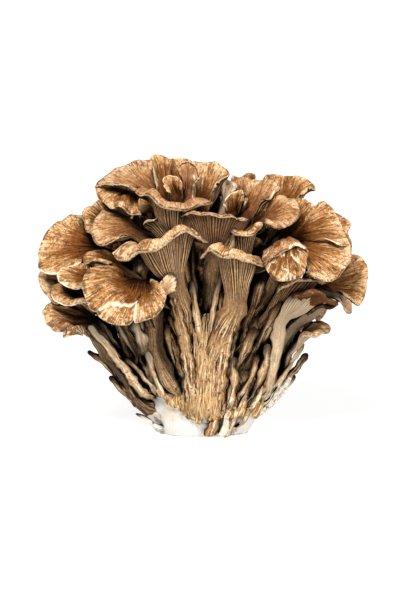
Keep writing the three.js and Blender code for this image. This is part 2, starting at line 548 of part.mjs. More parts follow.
// A frond as one closed shape. Extra thickens it all over, for cutting its neighbours clear.
function frondGeometry(frond, extra = 0) {
  const rows = frond.rows ?? FROND_ROWS;
  const wanted = Math.round(frond.rim.getLength() / MARGIN_STEP);
  const columns = rows.columns ?? THREE.MathUtils.clamp(wanted, 5, 12);
  const across = acrossSteps(columns);
  const [rootWidth, rootThick, neckWidth, neckThick] = frond.stem;
  const mix = THREE.MathUtils.lerp;
  const rings = [];
  const line = stemCurve(frond);
  for (const u of rows.stem) {
    const centre = line.getPointAt(u);
    const tangent = line.getTangentAt(u);
    const side = frond.side.clone().addScaledVector(tangent, -frond.side.dot(tangent)).normalize();
    const normal = side.clone().cross(tangent).normalize();
    const width = mix(rootWidth, neckWidth, u) + extra;
    const points = across.map((v) => centre.clone().addScaledVector(side, v * width));
    const thick = mix(rootThick, neckThick, u) + extra;
    rings.push(ringAround(points, across.map(() => normal), across, thick, 2));
  }
  const rimThick = Math.min(1.5, neckThick * 0.5);
  const [waveHeight, waves, waveStart] = frond.ruffle;
  for (const u of rows.cap) {
    const normals = across.map((v) => capNormal(frond, v, u));
    const points = across.map((v, j) => {
      const wave = waveHeight * u ** 1.5 * Math.sin(Math.PI * waves * v + waveStart);
      return capPoint(frond, v, u).addScaledVector(normals[j], wave);
    });
    if (u === 1) points.forEach((p) => p.addScaledVector(p.clone().sub(frond.neck).normalize(), extra));
    const thick = mix(neckThick, rimThick, Math.min(1, u * 2)) * (u === 1 ? 0.5 : 1) + extra;
    rings.push(ringAround(points, normals, across, thick, mix(2, 8, Math.min(1, u * 2))));
  }
  return loft(rings);
}

// A shoot: a bent finger that narrows to a rounded tip.
function shootGeometry(shoot, extra = 0) {
  const middle = shoot.root.clone().lerp(shoot.tip, 0.5).add(shoot.bow);
  const line = new THREE.QuadraticBezierCurve3(shoot.root, middle, shoot.tip);
  const across = acrossSteps(4);
  const side = new THREE.Vector3(1, 0, 0);
  const rings = [0, 0.35, 0.7, 0.92, 1].map((u) => {
    const tangent = line.getTangentAt(u);
    const right = side.clone().addScaledVector(tangent, -side.dot(tangent)).normalize();
    const normal = right.clone().cross(tangent).normalize();
    const half = THREE.MathUtils.lerp(shoot.half[0], shoot.half[1], u) * (u === 1 ? 0.5 : 1) + extra;
    const points = across.map((v) => line.getPointAt(u).addScaledVector(right, v * half));
    return ringAround(points, across.map(() => normal), across, half, 2);
  });
  return loft(rings);
}

// How far a level reaches beyond its ellipse at an angle: further at the corners, near the ground.
function cornerReach(turn, height) {
  const power = THREE.MathUtils.lerp(GROUND_POWER, 2, Math.min(1, height / ROUND_ABOVE));
  return (Math.abs(Math.cos(turn)) ** power + Math.abs(Math.sin(turn)) ** power) ** (-1 / power);
}

// Levels stacked into one closed shape, its first level flat.
function stackGeometry(levels, extra = 0) {
  const rings = levels.map(([height, halfX, halfY, x, y]) =>
    Array.from({ length: LEVEL_POINTS }, (_, j) => {
      const turn = Math.PI + (2 * Math.PI * j) / LEVEL_POINTS;
      const corner = cornerReach(turn, height);
      return new THREE.Vector3(
        x + (halfX + extra) * corner * Math.cos(turn), y + (halfY + extra) * corner * Math.sin(turn), height);
    }),
  );
  return loft(rings);
}

// Joining and cutting

const wasm = await Module();
wasm.setup();

function solidOf(geometry) {
  const merged = mergeVertices(geometry, 1e-4);
  const made = new wasm.Manifold(new wasm.Mesh({
    numProp: 3,
    vertProperties: new Float32Array(merged.attributes.position.array),
    triVerts: new Uint32Array(merged.index.array),
  }));
  return made.volume() < 0 ? null : made;
}

function geometryOf(solid) {
  const { vertProperties, triVerts, numProp } = solid.getMesh();
  const count = vertProperties.length / numProp;
  const positions = new Float32Array(count * 3);
  for (let i = 0; i < count; i++) {
    positions.set(vertProperties.subarray(i * numProp, i * numProp + 3), i * 3);
  }
  const geometry = new THREE.BufferGeometry();
  geometry.setAttribute('position', new THREE.BufferAttribute(positions, 3));
  geometry.setIndex(new THREE.BufferAttribute(triVerts, 1));
  return geometry;
}

function boxOf(solid) {
  const { min, max } = solid.boundingBox();
  return new THREE.Box3(new THREE.Vector3(...min), new THREE.Vector3(...max));
}

function meets(solid, other) {
  return boxOf(solid).intersectsBox(boxOf(other));
}

function largestBody(solid) {
  const [largest = solid] = solid.decompose().sort((a, b) => b.volume() - a.volume());
  return largest;
}

// A solid with fine detail closed up, as one body that is clear of the solids round it.
function tidied(solid, placed) {
  let left = largestBody(solid.asOriginal().simplify(SLIVER));
  for (const other of placed) {
    if (meets(left, other) && left.intersect(other).volume() > 0) left = largestBody(left.subtract(other));
  }
  return left;
}

// What is left of a solid when its neighbours' thickened shapes are cut away. A thickened shape can
// miss a fold of its own frond, so the neighbours' solids are kept clear of as well.
function trimmed(solid, thickened, placed) {
  let left = solid;
  for (const cutter of thickened) {
    if (meets(left, cutter)) left = left.subtract(cutter);
  }
  return tidied(left, placed);
}

function frontFrond(row) {
  return settle({
    ...row,
    root: onBoard(row.root),
    through: row.through?.map(onBoard),
    neck: onBoard(row.neck),
    top: onBoard(row.top).normalize(),
    margin: row.margin.map(onBoard),
  });
}

function ringFrond({ azimuth, neck, rim, span, droop, ...rest }) {
  const margin = [-1, -0.5, 0, 0.5, 1].map((s) =>
    roundAxis(azimuth + s * span, [rim[0] * (1 - 0.16 * s * s), rim[1] - droop * s * s]),
  );
  return settle({
    ...rest,
    root: roundAxis(azimuth, RING_ROOT),
    neck: roundAxis(azimuth, neck),
    top: roundAxis(azimuth, [0.45, 1]).normalize(),
    margin, roll: [0.3, 6], belly: 0, stem: RING_STEM, ruffle: [0.7, 4, azimuth],
  });
}

// The young leaves of one ring, set out evenly round its oval. Each is a small upright fan that
// leans outwards, and its place and size sway a little from leaf to leaf.
function youngLeaves({ up, half, front, back, leaves, arc }, ringIndex) {
  return Array.from({ length: leaves }, (_, j) => {
    const even = THREE.MathUtils.degToRad(arc) * ((2 * j + 1) / leaves - 1);
    const turn = even - 0.22 * Math.sin(2 * even);
    const i = 20 * ringIndex + j;
    const size = 1 + 0.16 * Math.sin(1.9 * i);
    const [halfWide, high] = LEAF_SIZE.map((length) => length * size);
    const outward = [Math.sin(turn), Math.cos(turn)];
    const centre = [
      half * outward[0] + 2.5 * Math.sin(2.4 * i),
      up + 3.5 * Math.sin(3.7 * i + 1),
      (front + back) / 2 + ((front - back) / 2) * outward[1] + 2.5 * Math.sin(5.1 * i + 2),
    ];
    const at = (across, rise, push) => onBoard([
      centre[0] + across * outward[1] + push * outward[0],
      centre[1] + rise,
      centre[2] - across * outward[0] + push * outward[1],
    ]);
    return {
      neck: at(0, -high * 1.2, -4),
      top: onBoard([0.85 * outward[0], 0.5, 0.85 * outward[1]]).normalize(),
      margin: [-1, -0.5, 0, 0.5, 1].map((s) => at(halfWide * s, -high * 0.5 * s * s, 5 - 3 * s * s)),
      roll: [0.25, 2.5], belly: -1.5, stem: [3, 2.4, 4, 2], ruffle: [0.8, 3, i], rows: LEAF_ROWS,
    };
  });
}

// Where a young leaf would grow from a frond's stalk: the point nearest to the leaf's neck among
// those well below it.
function seatOn(frond, leaf) {
  const line = stemCurve(frond);
  const places = Array.from({ length: 13 }, (_, j) => 0.3 + 0.05 * j)
    .map((u) => ({ seat: line.getPointAt(u - 0.08), root: line.getPointAt(u) }))
    .filter(({ root }) => root.z < leaf.neck.z - 5);
  const reach = ({ root }) => root.distanceTo(leaf.neck);
  return places.reduce((best, place) => (!best || reach(place) < reach(best) ? place : best), undefined);
}

// A young leaf joins the nearest stalk from which enough of it is left when its other neighbours'
// thickened shapes are cut away. Where the stalks stand too close for that, no leaf grows.
function growLeaf(leaf, grown) {
  const seats = grown.filter(({ piece }) => piece.rim && piece.stem[0] >= BEARING_STALK)
    .map((host) => ({ host, place: seatOn(host.piece, leaf) }))
    .filter(({ place }) => place)
    .sort((a, b) => a.place.root.distanceTo(leaf.neck) - b.place.root.distanceTo(leaf.neck))
    .slice(0, STALKS_TRIED);
  for (const { host, place } of seats) {
    const seated = settle({ ...leaf, ...place });
    const whole = solidOf(frondGeometry(seated));
    const others = grown.filter((one) => one !== host);
    const placed = others.map((one) => one.solid);
    const left = trimmed(whole, others.flatMap((one) => one.thickened), placed);
    if (left.volume() > LEAST_LEAF * whole.volume() && left.intersect(host.solid).volume() > 1) {
      host.solid = tidied(host.solid.add(left), placed);
      host.thickened.push(solidOf(frondGeometry(seated, GAP)));
      return;
    }
  }
}

function addMesh(group, name, geometry, skin) {
  const material = new THREE.MeshStandardMaterial({ ...SKINS[skin], metalness: 0, flatShading: true });
  const mesh = new THREE.Mesh(geometry, material);
  mesh.name = name;
  group.add(mesh);
}

function buildCluster() {
  const cluster = new THREE.Group();
  cluster.name = 'maitake_cluster';
  const core = (extra) => solidOf(stackGeometry(BUTT_LEVELS, extra))
    .add(solidOf(stackGeometry(MAIN_STEM_LEVELS, extra)));
  const grown = [{ piece: { name: 'core' }, skin: 'flesh', solid: core(0), thickened: [core(GAP)] }];
  const grow = (piece, shape, skin) => {
    const thickened = grown.flatMap((one) => one.thickened);
    const solid = trimmed(solidOf(shape(piece)), thickened, grown.map((one) => one.solid));
    grown.push({ piece, skin, solid, thickened: [solidOf(shape(piece, GAP))] });
  };
  const shoots = SHOOTS.map((row) => ({
    ...row, root: onBoard(row.root), tip: onBoard(row.tip), bow: onBoard(row.bow),
  }));
  shoots.forEach((shoot) => grow(shoot, shootGeometry, 'shoot'));
  [...FRONT_FRONDS.map(frontFrond), ...RING_FRONDS.map(ringFrond)]
    .forEach((frond) => grow(frond, frondGeometry, 'cap'));
  LEAF_RINGS.flatMap(youngLeaves).forEach((leaf) => growLeaf(leaf, grown));
  grown.forEach(({ piece, skin, solid }) => addMesh(cluster, piece.name, geometryOf(solid), skin));
  return cluster;
}

export default buildCluster();
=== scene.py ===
# A maitake cluster: fronds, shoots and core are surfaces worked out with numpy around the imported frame.
import math

import bpy
import numpy as np
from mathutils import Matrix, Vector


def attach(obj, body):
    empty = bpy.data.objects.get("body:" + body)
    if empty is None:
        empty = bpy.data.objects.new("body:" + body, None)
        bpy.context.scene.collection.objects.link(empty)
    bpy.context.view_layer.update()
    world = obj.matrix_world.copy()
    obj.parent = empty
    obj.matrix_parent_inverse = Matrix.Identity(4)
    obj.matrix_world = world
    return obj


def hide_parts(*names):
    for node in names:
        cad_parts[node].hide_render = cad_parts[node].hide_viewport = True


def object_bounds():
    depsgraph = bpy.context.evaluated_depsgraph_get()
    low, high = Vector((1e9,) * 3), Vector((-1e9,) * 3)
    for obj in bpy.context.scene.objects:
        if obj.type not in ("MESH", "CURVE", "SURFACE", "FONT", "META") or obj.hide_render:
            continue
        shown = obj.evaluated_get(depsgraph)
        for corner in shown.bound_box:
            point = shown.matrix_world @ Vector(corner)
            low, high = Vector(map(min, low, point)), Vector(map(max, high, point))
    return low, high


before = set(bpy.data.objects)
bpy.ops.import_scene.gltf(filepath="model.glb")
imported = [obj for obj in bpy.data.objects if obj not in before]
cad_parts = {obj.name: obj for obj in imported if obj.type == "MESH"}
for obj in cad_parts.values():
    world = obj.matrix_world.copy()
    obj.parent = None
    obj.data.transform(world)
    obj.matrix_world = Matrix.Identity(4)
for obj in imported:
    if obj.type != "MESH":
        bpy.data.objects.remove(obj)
cadBox = [[float(c) for c in corner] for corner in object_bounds()]
boxMiddle = [(low + high) / 2 for low, high in zip(*cadBox)]
print("frame loaded")

mm = 0.001
boardLean = math.radians(12)  # the front fronds are set out on a board that leans back

# ---- camera, floor and light ----

cameraSetup = dict(
    aimShift=(-0.0018, -0.0025, -0.0015),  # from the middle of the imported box, in metres
    elevation=12,
    distance=2.0,
    sharpDepth=0.025,  # the plane in front of the aim where the frame height holds
    frameHeight=0.3278,
    sensor=36,
)


def makeCamera(c):
    aim = [m + s for m, s in zip(boxMiddle, c["aimShift"])]
    tilt = math.radians(c["elevation"])
    data = bpy.data.cameras.new("camera")
    data.sensor_width = c["sensor"]
    data.lens = c["sensor"] * (c["distance"] - c["sharpDepth"]) / c["frameHeight"]
    data.clip_end = 20
    camera = bpy.data.objects.new("camera", data)
    back, rise = c["distance"] * math.cos(tilt), c["distance"] * math.sin(tilt)
    camera.location = (aim[0], aim[1] - back, aim[2] + rise)
    camera.rotation_euler = (math.pi / 2 - tilt, 0, 0)
    bpy.context.collection.objects.link(camera)
    bpy.context.scene.camera = camera


makeCamera(cameraSetup)


def linear(*display):
    # red, green and blue from 0 to 255 on a display to the linear values that shaders take
    shares = [value / 255 for value in display]
    return (*(c / 12.92 if c <= 0.04045 else ((c + 0.055) / 1.055) ** 2.4 for c in shares), 1)


floorSetup = dict(size=9.0, color=linear(140, 140, 139), roughness=0.7, glow=0.85)  # glows by itself
lightSetup = dict(
    sky=0.22,
    key=dict(turn=(38, 0, -28), softness=24, power=3.4, color=(1, 0.98, 0.95)),  # turns in degrees
    fill=dict(turn=(58, 0, 40), softness=35, power=1.7, color=(0.97, 0.98, 1)),
)


def makeFloor(f):
    mesh = bpy.data.meshes.new("floor")
    h = f["size"] / 2
    mesh.from_pydata([(-h, -h, 0), (h, -h, 0), (h, h, 0), (-h, h, 0)], [], [(0, 1, 2, 3)])
    floor = bpy.data.objects.new("floor", mesh)
    bpy.context.collection.objects.link(floor)
    material = bpy.data.materials.new("floorPaper")
    material.use_nodes = True
    shader = material.node_tree.nodes["Principled BSDF"]
    shader.inputs["Base Color"].default_value = f["color"]
    shader.inputs["Roughness"].default_value = f["roughness"]
    shader.inputs["Emission Color"].default_value = (1, 1, 1, 1)
    shader.inputs["Emission Strength"].default_value = f["glow"]
    mesh.materials.append(material)


def makeLight(name, l):
    data = bpy.data.lights.new(name, "SUN")
    data.angle = math.radians(l["softness"])
    data.energy = l["power"]
    data.color = l["color"]
    light = bpy.data.objects.new(name, data)
    light.rotation_euler = [math.radians(angle) for angle in l["turn"]]
    bpy.context.collection.objects.link(light)


def makeSky(strength):
    world = bpy.data.worlds.new("studio")
    world.use_nodes = True
    background = world.node_tree.nodes["Background"]
    background.inputs["Color"].default_value = (1, 1, 1, 1)
    background.inputs["Strength"].default_value = strength
    bpy.context.scene.world = world
    bpy.context.scene.view_settings.view_transform = "Standard"


makeFloor(floorSetup)
makeLight("keyLight", lightSetup["key"])
makeLight("fillLight", lightSetup["fill"])
makeSky(lightSetup["sky"])
print("stage set")

# ---- shape tools, all in millimetres ----


def onBoard(point):
    # right, up and out on the leaning board, to the part's own frame
    right, up, out = np.moveaxis(np.asarray(point, float), -1, 0)
    c, s = math.cos(boardLean), math.sin(boardLean)
    return np.stack([right, up * s - out * c, up * c + out * s], -1)


def roundAxis(azimuth, distance, height):
    # a point at an azimuth in degrees from the front, a distance from the axis and a height
    turn = np.radians(azimuth)
    return np.stack(np.broadcast_arrays(distance * np.sin(turn), -distance * np.cos(turn), height), -1)


def unit(vectors):
    # each vector over its own length
    return vectors / np.maximum(np.linalg.norm(vectors, axis=-1, keepdims=True), 1e-9)


def mix(a, b, share):
    # a at share 0, b at share 1, and in a straight line between
    return a + (b - a) * share


def smooth(low, high, x):
    # 0 below low, 1 above high, and a smooth cubic between
    t = np.clip((x - low) / (high - low), 0, 1)
    return t * t * (3 - 2 * t)


def ripple(coords, length, seed, waves=7):
    # smooth noise from -1 to 1: a sum of sines of about one wavelength in seeded directions
    rng = np.random.default_rng(seed)
    coords = np.asarray(coords, float)
    way = unit(rng.normal(size=(waves, coords.shape[-1])))
    rate = 2 * math.pi / (length * rng.uniform(0.7, 1.5, waves))
    start = rng.uniform(0, 2 * math.pi, waves)
    return np.sin((coords @ way.T) * rate + start).sum(-1) / math.sqrt(waves) * 0.8


def lineNoise(x, length, seed):
    # ripple read along a straight line
    return ripple(np.asarray(x, float)[..., None] * np.array([1.0, 0.0]) + seed * 0.37, length, seed)


def curveThrough(points, shares):
    # a uniform Catmull-Rom curve through the points, read off at shares of its length
    p = np.asarray(points, float)
    p = np.vstack([2 * p[0] - p[1], p, 2 * p[-1] - p[-2]])
    s = np.linspace(0, len(p) - 3, 50 * (len(p) - 3) + 1)
    i = np.minimum(s.astype(int), len(p) - 4)
    f = (s - i)[:, None]
    a, b, c, d = p[i], p[i + 1], p[i + 2], p[i + 3]
    line = b + 0.5 * f * (c - a + f * (2 * a - 5 * b + 4 * c - d + f * (3 * b - a - 3 * c + d)))
    run = np.r_[0, np.cumsum(np.linalg.norm(np.diff(line, axis=0), axis=1))]
    at = np.asarray(shares) * run[-1]
    return np.stack([np.interp(at, run, axis) for axis in line.T], -1), run[-1]


def hermite(a, aSlope, b, bSlope, t):
    # the cubic that leaves a with aSlope at t 0 and reaches b with bSlope at t 1
    return ((2 * t**3 - 3 * t**2 + 1) * a + (t**3 - 2 * t**2 + t) * aSlope
            + (3 * t**2 - 2 * t**3) * b + (t**3 - t**2) * bSlope)


def sheetNormals(grid):
    # rows run outwards and columns across, so the skin side is columns crossed with rows
    return unit(np.cross(np.gradient(grid, axis=1), np.gradient(grid, axis=0)))


# ---- pieces: a shape is worked out first, and becomes a mesh once all are known ----

shapes = []  # each: name, nodes it replaces, slot, verts, faces, attributes
usualLooks = dict(tone=0.5, pale=0, crack=0, bright=0.5, bare=1, lap=0, dim=0)  # read by the materials; the last of them paints shade over a cap's underside
underShift = 300  # keeps the grain of an underside apart from the grain of its skin side


def addShape(name, nodes, slot, shape, looks=usualLooks):
    # looks are the piece's own values for the materials, such as its tone and how pale it is
    verts, quads, tris, attributes = shape
    for key, usual in usualLooks.items():
        attributes[key] = np.full(len(verts), float(looks.get(key, usual)))
    shapes.append(dict(
        name=name, nodes=nodes, slot=slot, verts=verts, quads=quads, tris=tris, attributes=attributes,
    ))


def closedStrip(skinSide, underSide, **marks):
    # two grids that share their first and last columns become one closed shell, both ends capped; a mark
    # is one value or grid for both sides, or a pair: the skin side's and the underside's
    rows, columns = skinSide.shape[:2]
    inner = columns - 2
    top = np.arange(rows * columns).reshape(rows, columns)
    low = rows * columns + np.arange(rows * inner).reshape(rows, inner)
    ring = np.hstack([top, low[:, ::-1]])
    turned = np.roll(ring, -1, axis=1)
    quads = np.stack([ring[:-1], turned[:-1], turned[1:], ring[1:]], -1).reshape(-1, 4)
    under = np.hstack([top[:, :1], low, top[:, -1:]])  # the underside's index in each column
    ends = []
    for row in (0, -1):
        corners = [top[row, 1:-2], under[row, 1:-2], under[row, 2:-1], top[row, 2:-1]]
        ends.append(np.stack(corners if row == 0 else corners[::-1], -1))
    tris = np.array([
        [top[0, 0], under[0, 1], top[0, 1]],
        [top[0, -2], under[0, -2], top[0, -1]],
        [top[-1, 1], under[-1, 1], top[-1, 0]],
        [top[-1, -1], under[-1, -2], top[-1, -2]],
    ])

    def bothSides(skinValues, underValues):
        inside = underValues[:, 1:-1]
        return np.concatenate([skinValues.reshape(top.size, -1), inside.reshape(low.size, -1)])

    attributes = {}
    for key, mark in marks.items():
        pair = mark if isinstance(mark, tuple) else (mark, mark)
        attributes[key] = bothSides(*(np.broadcast_to(m, top.shape) for m in pair))[:, 0]
    return bothSides(skinSide, underSide), np.vstack([quads, *ends]), tris, attributes


def joinShapes(parts):
    # several closed shells kept in one mesh
    starts = np.cumsum([0] + [len(part[0]) for part in parts])
    verts, quads, tris, attributes = zip(*parts)
    return (np.vstack(verts),
            np.vstack([faces + start for faces, start in zip(quads, starts)]),
            np.vstack([faces + start for faces, start in zip(tris, starts)]),
            {key: np.concatenate([a[key] for a in attributes]) for key in attributes[0]})


def settle(f):
    # the rim is ordered so that the skin side is on top, then the stem's heading and the neck's line follow
    margin, neck, top = np.asarray(f["margin"], float), f["neck"], f["top"]
    middle = curveThrough(margin, 0.5)[0]
    if np.dot(np.cross(margin[-1] - margin[0], middle - neck), top) < 0:
        margin = margin[::-1]
    crest = mix(middle, neck, f["roll"][0]) + top * f["roll"][1]
    heading = unit(unit(neck - f["root"]) + unit(crest - neck))
    chord = margin[-1] - margin[0]
    return margin, heading, unit(chord - heading * np.dot(chord, heading))


def nearLines(lines, along, rayRun, rowRun, seed):
    # how near each point lies to any of the lines, each given by across and along at its two ends
    near = np.zeros(along.shape)
    p = np.stack([rayRun, rowRun], -1)
    for acrossA, alongA, acrossB, alongB, width in lines:
        a, b = (np.array([across * rayRun[0, -1], out * rowRun[-1, 0]])
                for across, out in ((acrossA, alongA), (acrossB, alongB)))
        t = np.clip(((p - a) @ (b - a)) / ((b - a) @ (b - a)), 0, 1)
        away = np.linalg.norm(p - a - t[..., None] * (b - a), axis=-1)
        away = away + 0.35 * width * ripple(p, 4, seed + 11)
        taper = 0.35 + 0.65 * np.sin(math.pi * np.clip(t, 0.05, 0.95))
        near = np.maximum(near, 1 - smooth(0.45, 1.0, away / (width * taper)))
    return near


stalks = []  # points up the sturdy stalks, each with one a little lower: young leaves grow from them

frondLook = dict(
    belly=1,  # how far the middle of each ray bulges to the skin side
    flare=0,  # draws the flanks in, so that they curve outwards like a trumpet's
    ruffle=(0.3, 3, 0),  # the rim's waves: height, how many across, and where the first starts
    splits=(),  # notches in the rim: where, depth, width
    tears=(),  # lines of torn pale flesh: across and along at both ends, width
    shadows=(),  # painted shadow lines, with a few dark rim outlines among them, given in the same way
    spacing=0.72,  # one column for about this much rim, in millimetres
    rowStep=1.4,
    stemStep=2.4,
    rimHalf=0.95,  # half thickness of the cap just inside its rim
    warp=1.0,  # slow swelling of the whole cap
    lumps=0.26,
    fibres=0.07,
    fray=0.6,  # how far the rim wanders in and out
    gillWide=2.2,  # from one gill to the next at the rim
    gillDepth=0.34,
    curl=0.35,  # how far the stem's edges curl, as a share of its half width
    knots=0.55,  # lumps along the stem
    creases=0.24,  # radial folds of the cap
    fewest=30,  # columns on the smallest leaf
    fewestRows=(12, 20),  # rows on the shortest stem and cap
    bearing=4,  # half width of the thinnest stalk that bears young leaves
)


def capGrid(f, margin, heading, side, v):
    # rays leave the neck line, pass a waist and a crest, and end on the rim: cubic Hermite pieces
    neck, top, seed = f["neck"], f["top"], f["seed"]
    rim, rimLength = curveThrough(margin, (v + 1) / 2)
    reach = np.linalg.norm(rim - neck, axis=-1, keepdims=True)
    rayWay = (rim - neck) / reach
    around = v * rimLength / 2
    edge = lineNoise(around, 13, seed) + 0.25 * lineNoise(around, 3.5, seed + 1)
    rim = rim + rayWay * ((edge - 0.5) * f["fray"])[:, None]
    for where, depth, width in f["splits"]:
        notch = np.exp(-np.abs((around - where * rimLength / 2) / width) ** 1.5) * depth
        rim = rim - rayWay * notch[:, None]
    start = neck + side * (v * f["stem"][2])[:, None]
    crest = mix(rim, neck, f["roll"][0]) + top * f["roll"][1]
    waist = mix(start, crest, 0.5) + top * f["belly"]
    waist = waist - ((waist - neck) @ side * f["flare"])[:, None] * side
    crest = crest - ((crest - neck) @ side * f["flare"] / 2)[:, None] * side
    length = np.median(reach)
    u = np.linspace(0, 1, int(max(f["fewestRows"][1], length * 1.25 / f["rowStep"])))
    u = np.r_[u[:-1], mix(u[-2], 1, np.array([0.35, 0.65, 0.88, 1.0]))]
    k = np.minimum((u * 3).astype(int), 2)
    knots = np.stack([start, waist, crest, rim])
    slopes = np.stack([
        heading * np.linalg.norm(waist - start, axis=-1, keepdims=True),
        (crest - start) / 2, (rim - waist) / 2, (rim - crest) * 1.1,
    ])
    between = (u * 3 - k)[:, None, None]
    return hermite(knots[k], slopes[k], knots[k + 1], slopes[k + 1], between), u, length * 1.2


def stemGrid(f, heading, side, v):
    # a flat stem that follows its line, uneven and with curled edges until it meets the cap
    neck, root, seed = f["neck"], f["root"], f["seed"]
    through = f.get("through", [])
    seat = f.get("seat", root * [0.4, 0.4, 1] - [0, 0, 12])
    last = through[-1] if len(through) else root
    points = np.vstack([seat, root, *through, neck - heading * np.linalg.norm(neck - last) * 0.3, neck])
    length = curveThrough(points, 0)[1]
    w = np.linspace(0, 1, int(max(f["fewestRows"][0], length / f["stemStep"])) + 1)[:-1]
    if f["stem"][0] >= f["bearing"]:
        places = np.linspace(0.3, 0.9, 13)
        stalks.append(np.hstack([curveThrough(points, places)[0], curveThrough(points, places - 0.08)[0]]))
    ahead, behind = (curveThrough(points, np.clip(w + step, 0, 1))[0] for step in (0.01, -0.01))
    tangent = unit(ahead - behind)
    across = unit(side - tangent * (tangent @ side)[:, None])
    run = w * length
    free = smooth(1.0, 0.85, w)  # the stem's own unevenness, which fades where it meets the cap
    swell = 1 + 0.14 * lineNoise(run, 24, seed + 3) * free
    edges = [lineNoise(run, 9, seed + k)[:, None] for k in (14, 15)]
    wide = (mix(f["stem"][0], f["stem"][2], w) * swell)[:, None]
    wide = wide * (1 + 0.2 * np.where(v > 0, *edges) * free[:, None] * np.abs(v) ** 2)
    bend = (f["curl"] * lineNoise(run, 45, seed + 16) * free)[:, None]
    stem = curveThrough(points, w)[0][:, None] + across[:, None] * (v * wide)[..., None]
    rise = (v**2 - 0.4) * wide * bend
    return stem + np.cross(across, tangent)[:, None] * rise[..., None], w, run - length


def frondShape(f):
    # stem and cap make one sheet, which waves lift; each side then stands off it by the half thickness and
    # the relief, knobs, folds and fibres above and gills below, times a profile that is 0 at the side edges
    f = {**frondLook, **f}
    seed = f["seed"]
    margin, heading, side = settle(f)
    rimLength = curveThrough(margin, 0)[1]
    s = np.linspace(-1, 1, int(max(f["fewest"], rimLength / f["spacing"])))
    v = 0.6 * s + 0.4 * np.sin(s * math.pi / 2)
    cap, u, capLength = capGrid(f, margin, heading, side, v)
    stem, w, stemRun = stemGrid(f, heading, side, v)
    sheet = np.concatenate([stem, cap])
    rayRun, along = np.meshgrid(v * rimLength / 2, np.r_[w - 1, u])
    rowRun = np.meshgrid(v, np.r_[stemRun, u * capLength])[1]
    onCap = np.clip(along, 0, 1)
    flat = np.stack([rayRun * mix(0.35, 1, onCap), rowRun], -1)
    high, waves, phase = f["ruffle"]
    lift = high * onCap**1.5 * np.sin(math.pi * waves * v + phase)
    lift = lift + f["warp"] * smooth(0, 0.5, onCap) * ripple(sheet, 20, seed + 5)
    lift = lift + 0.35 * (1 - smooth(0, 0.3, onCap)) * ripple(sheet, 11, seed + 6)
    sheet = sheet + sheetNormals(sheet) * lift[..., None]
    normals = sheetNormals(sheet)
    rootThick, neckThick = f["stem"][1::2]
    rimRound = np.sqrt(np.clip(1 - np.clip((along - 0.94) / 0.06, 0, 1) ** 2 * 0.93, 0, 1))
    half = mix(mix(rootThick, neckThick, along + 1), f["rimHalf"], np.clip(onCap * 1.7, 0, 1)) * rimRound
    profile = np.sqrt(np.clip(1 - np.abs(v) ** mix(2, 9, np.clip(onCap * 2, 0, 1)), 0, None))
    fine = ripple(np.stack([rayRun, rowRun * 0.12], -1), 3.2, seed + 7) * f["fibres"]
    onStem = 1 - smooth(-0.25, 0.05, along)
    knobs = mix(ripple(flat, 6, seed + 8) * f["lumps"], ripple(sheet, 7.5, seed + 12) * f["knots"], onStem)
    # tears give lines of torn flesh; the shadows rows give painted shadow lines, a few of them dark rim
    # outlines
    torn, dusk = (nearLines(f[key], along, rayRun, rowRun, seed) for key in ("tears", "shadows"))
    folds = ripple(np.stack([rayRun, rowRun * 0.3], -1), 9, seed + 18)
    creases = smooth(0.15, 0.5, onCap) * folds * f["creases"]
    gill = math.pi * round(rimLength / f["gillWide"]) * v + 0.72 * ripple(flat, 16, seed + 9)
    ridge = (0.5 + 0.5 * np.cos(gill)) ** 1.2
    reachDown = smooth(-0.3, 0.15, along) * (1 - smooth(0.9, 0.985, along))
    local = np.clip(mix(f["stem"][2] * 2 / rimLength, 1, onCap) * 1.4, 0.35, 1)
    skinLift = knobs + creases + fine - 0.7 * torn
    underLift = (ridge - 0.5) * f["gillDepth"] * reachDown * local + fine + knobs * mix(0.5, 1, onStem)
    return closedStrip(
        sheet + normals * ((half + skinLift) * profile)[..., None],
        sheet - normals * ((half + underLift) * profile)[..., None],
        ray=(rayRun, rayRun + underShift), run=rowRun, along=along, face=(profile**0.5, -(profile**0.5)),
        gill=gill, lines=(0, smooth(-0.45, 0.2, along) * (1 - smooth(0.93, 0.98, along))),
        torn=(torn, 0), dusk=dusk, stem=smooth(0.02, -0.3, along), side=np.abs(v),
    )


def boardFrond(name, f):
    # its points go from the board to the part's own frame, and its name gives the seed
    placed = {key: onBoard(f[key]) for key in ("root", "through", "neck", "top", "margin") if key in f}
    placed["top"] = unit(placed["top"])
    ready = {"seed": sum(map(ord, name)), **f, **placed}
    addShape(name.replace("frond_", "cap_"), f.get("nodes", [name]), "frond_skin", frondShape(ready), f)


# ---- fronds at the front, on the leaning board: right, up and out in millimetres ----

# a stem runs from its root, through any points between, to the neck, and its four sizes are the half width
# and half thickness at the root and at the neck; the rays of a cap run on to the margin over a crest, and
# roll says where the crest lies, from 0 at the rim to 1 at the neck, and how high; top is the skin's side
crinkled = dict(creases=0.42, fibres=0.12)

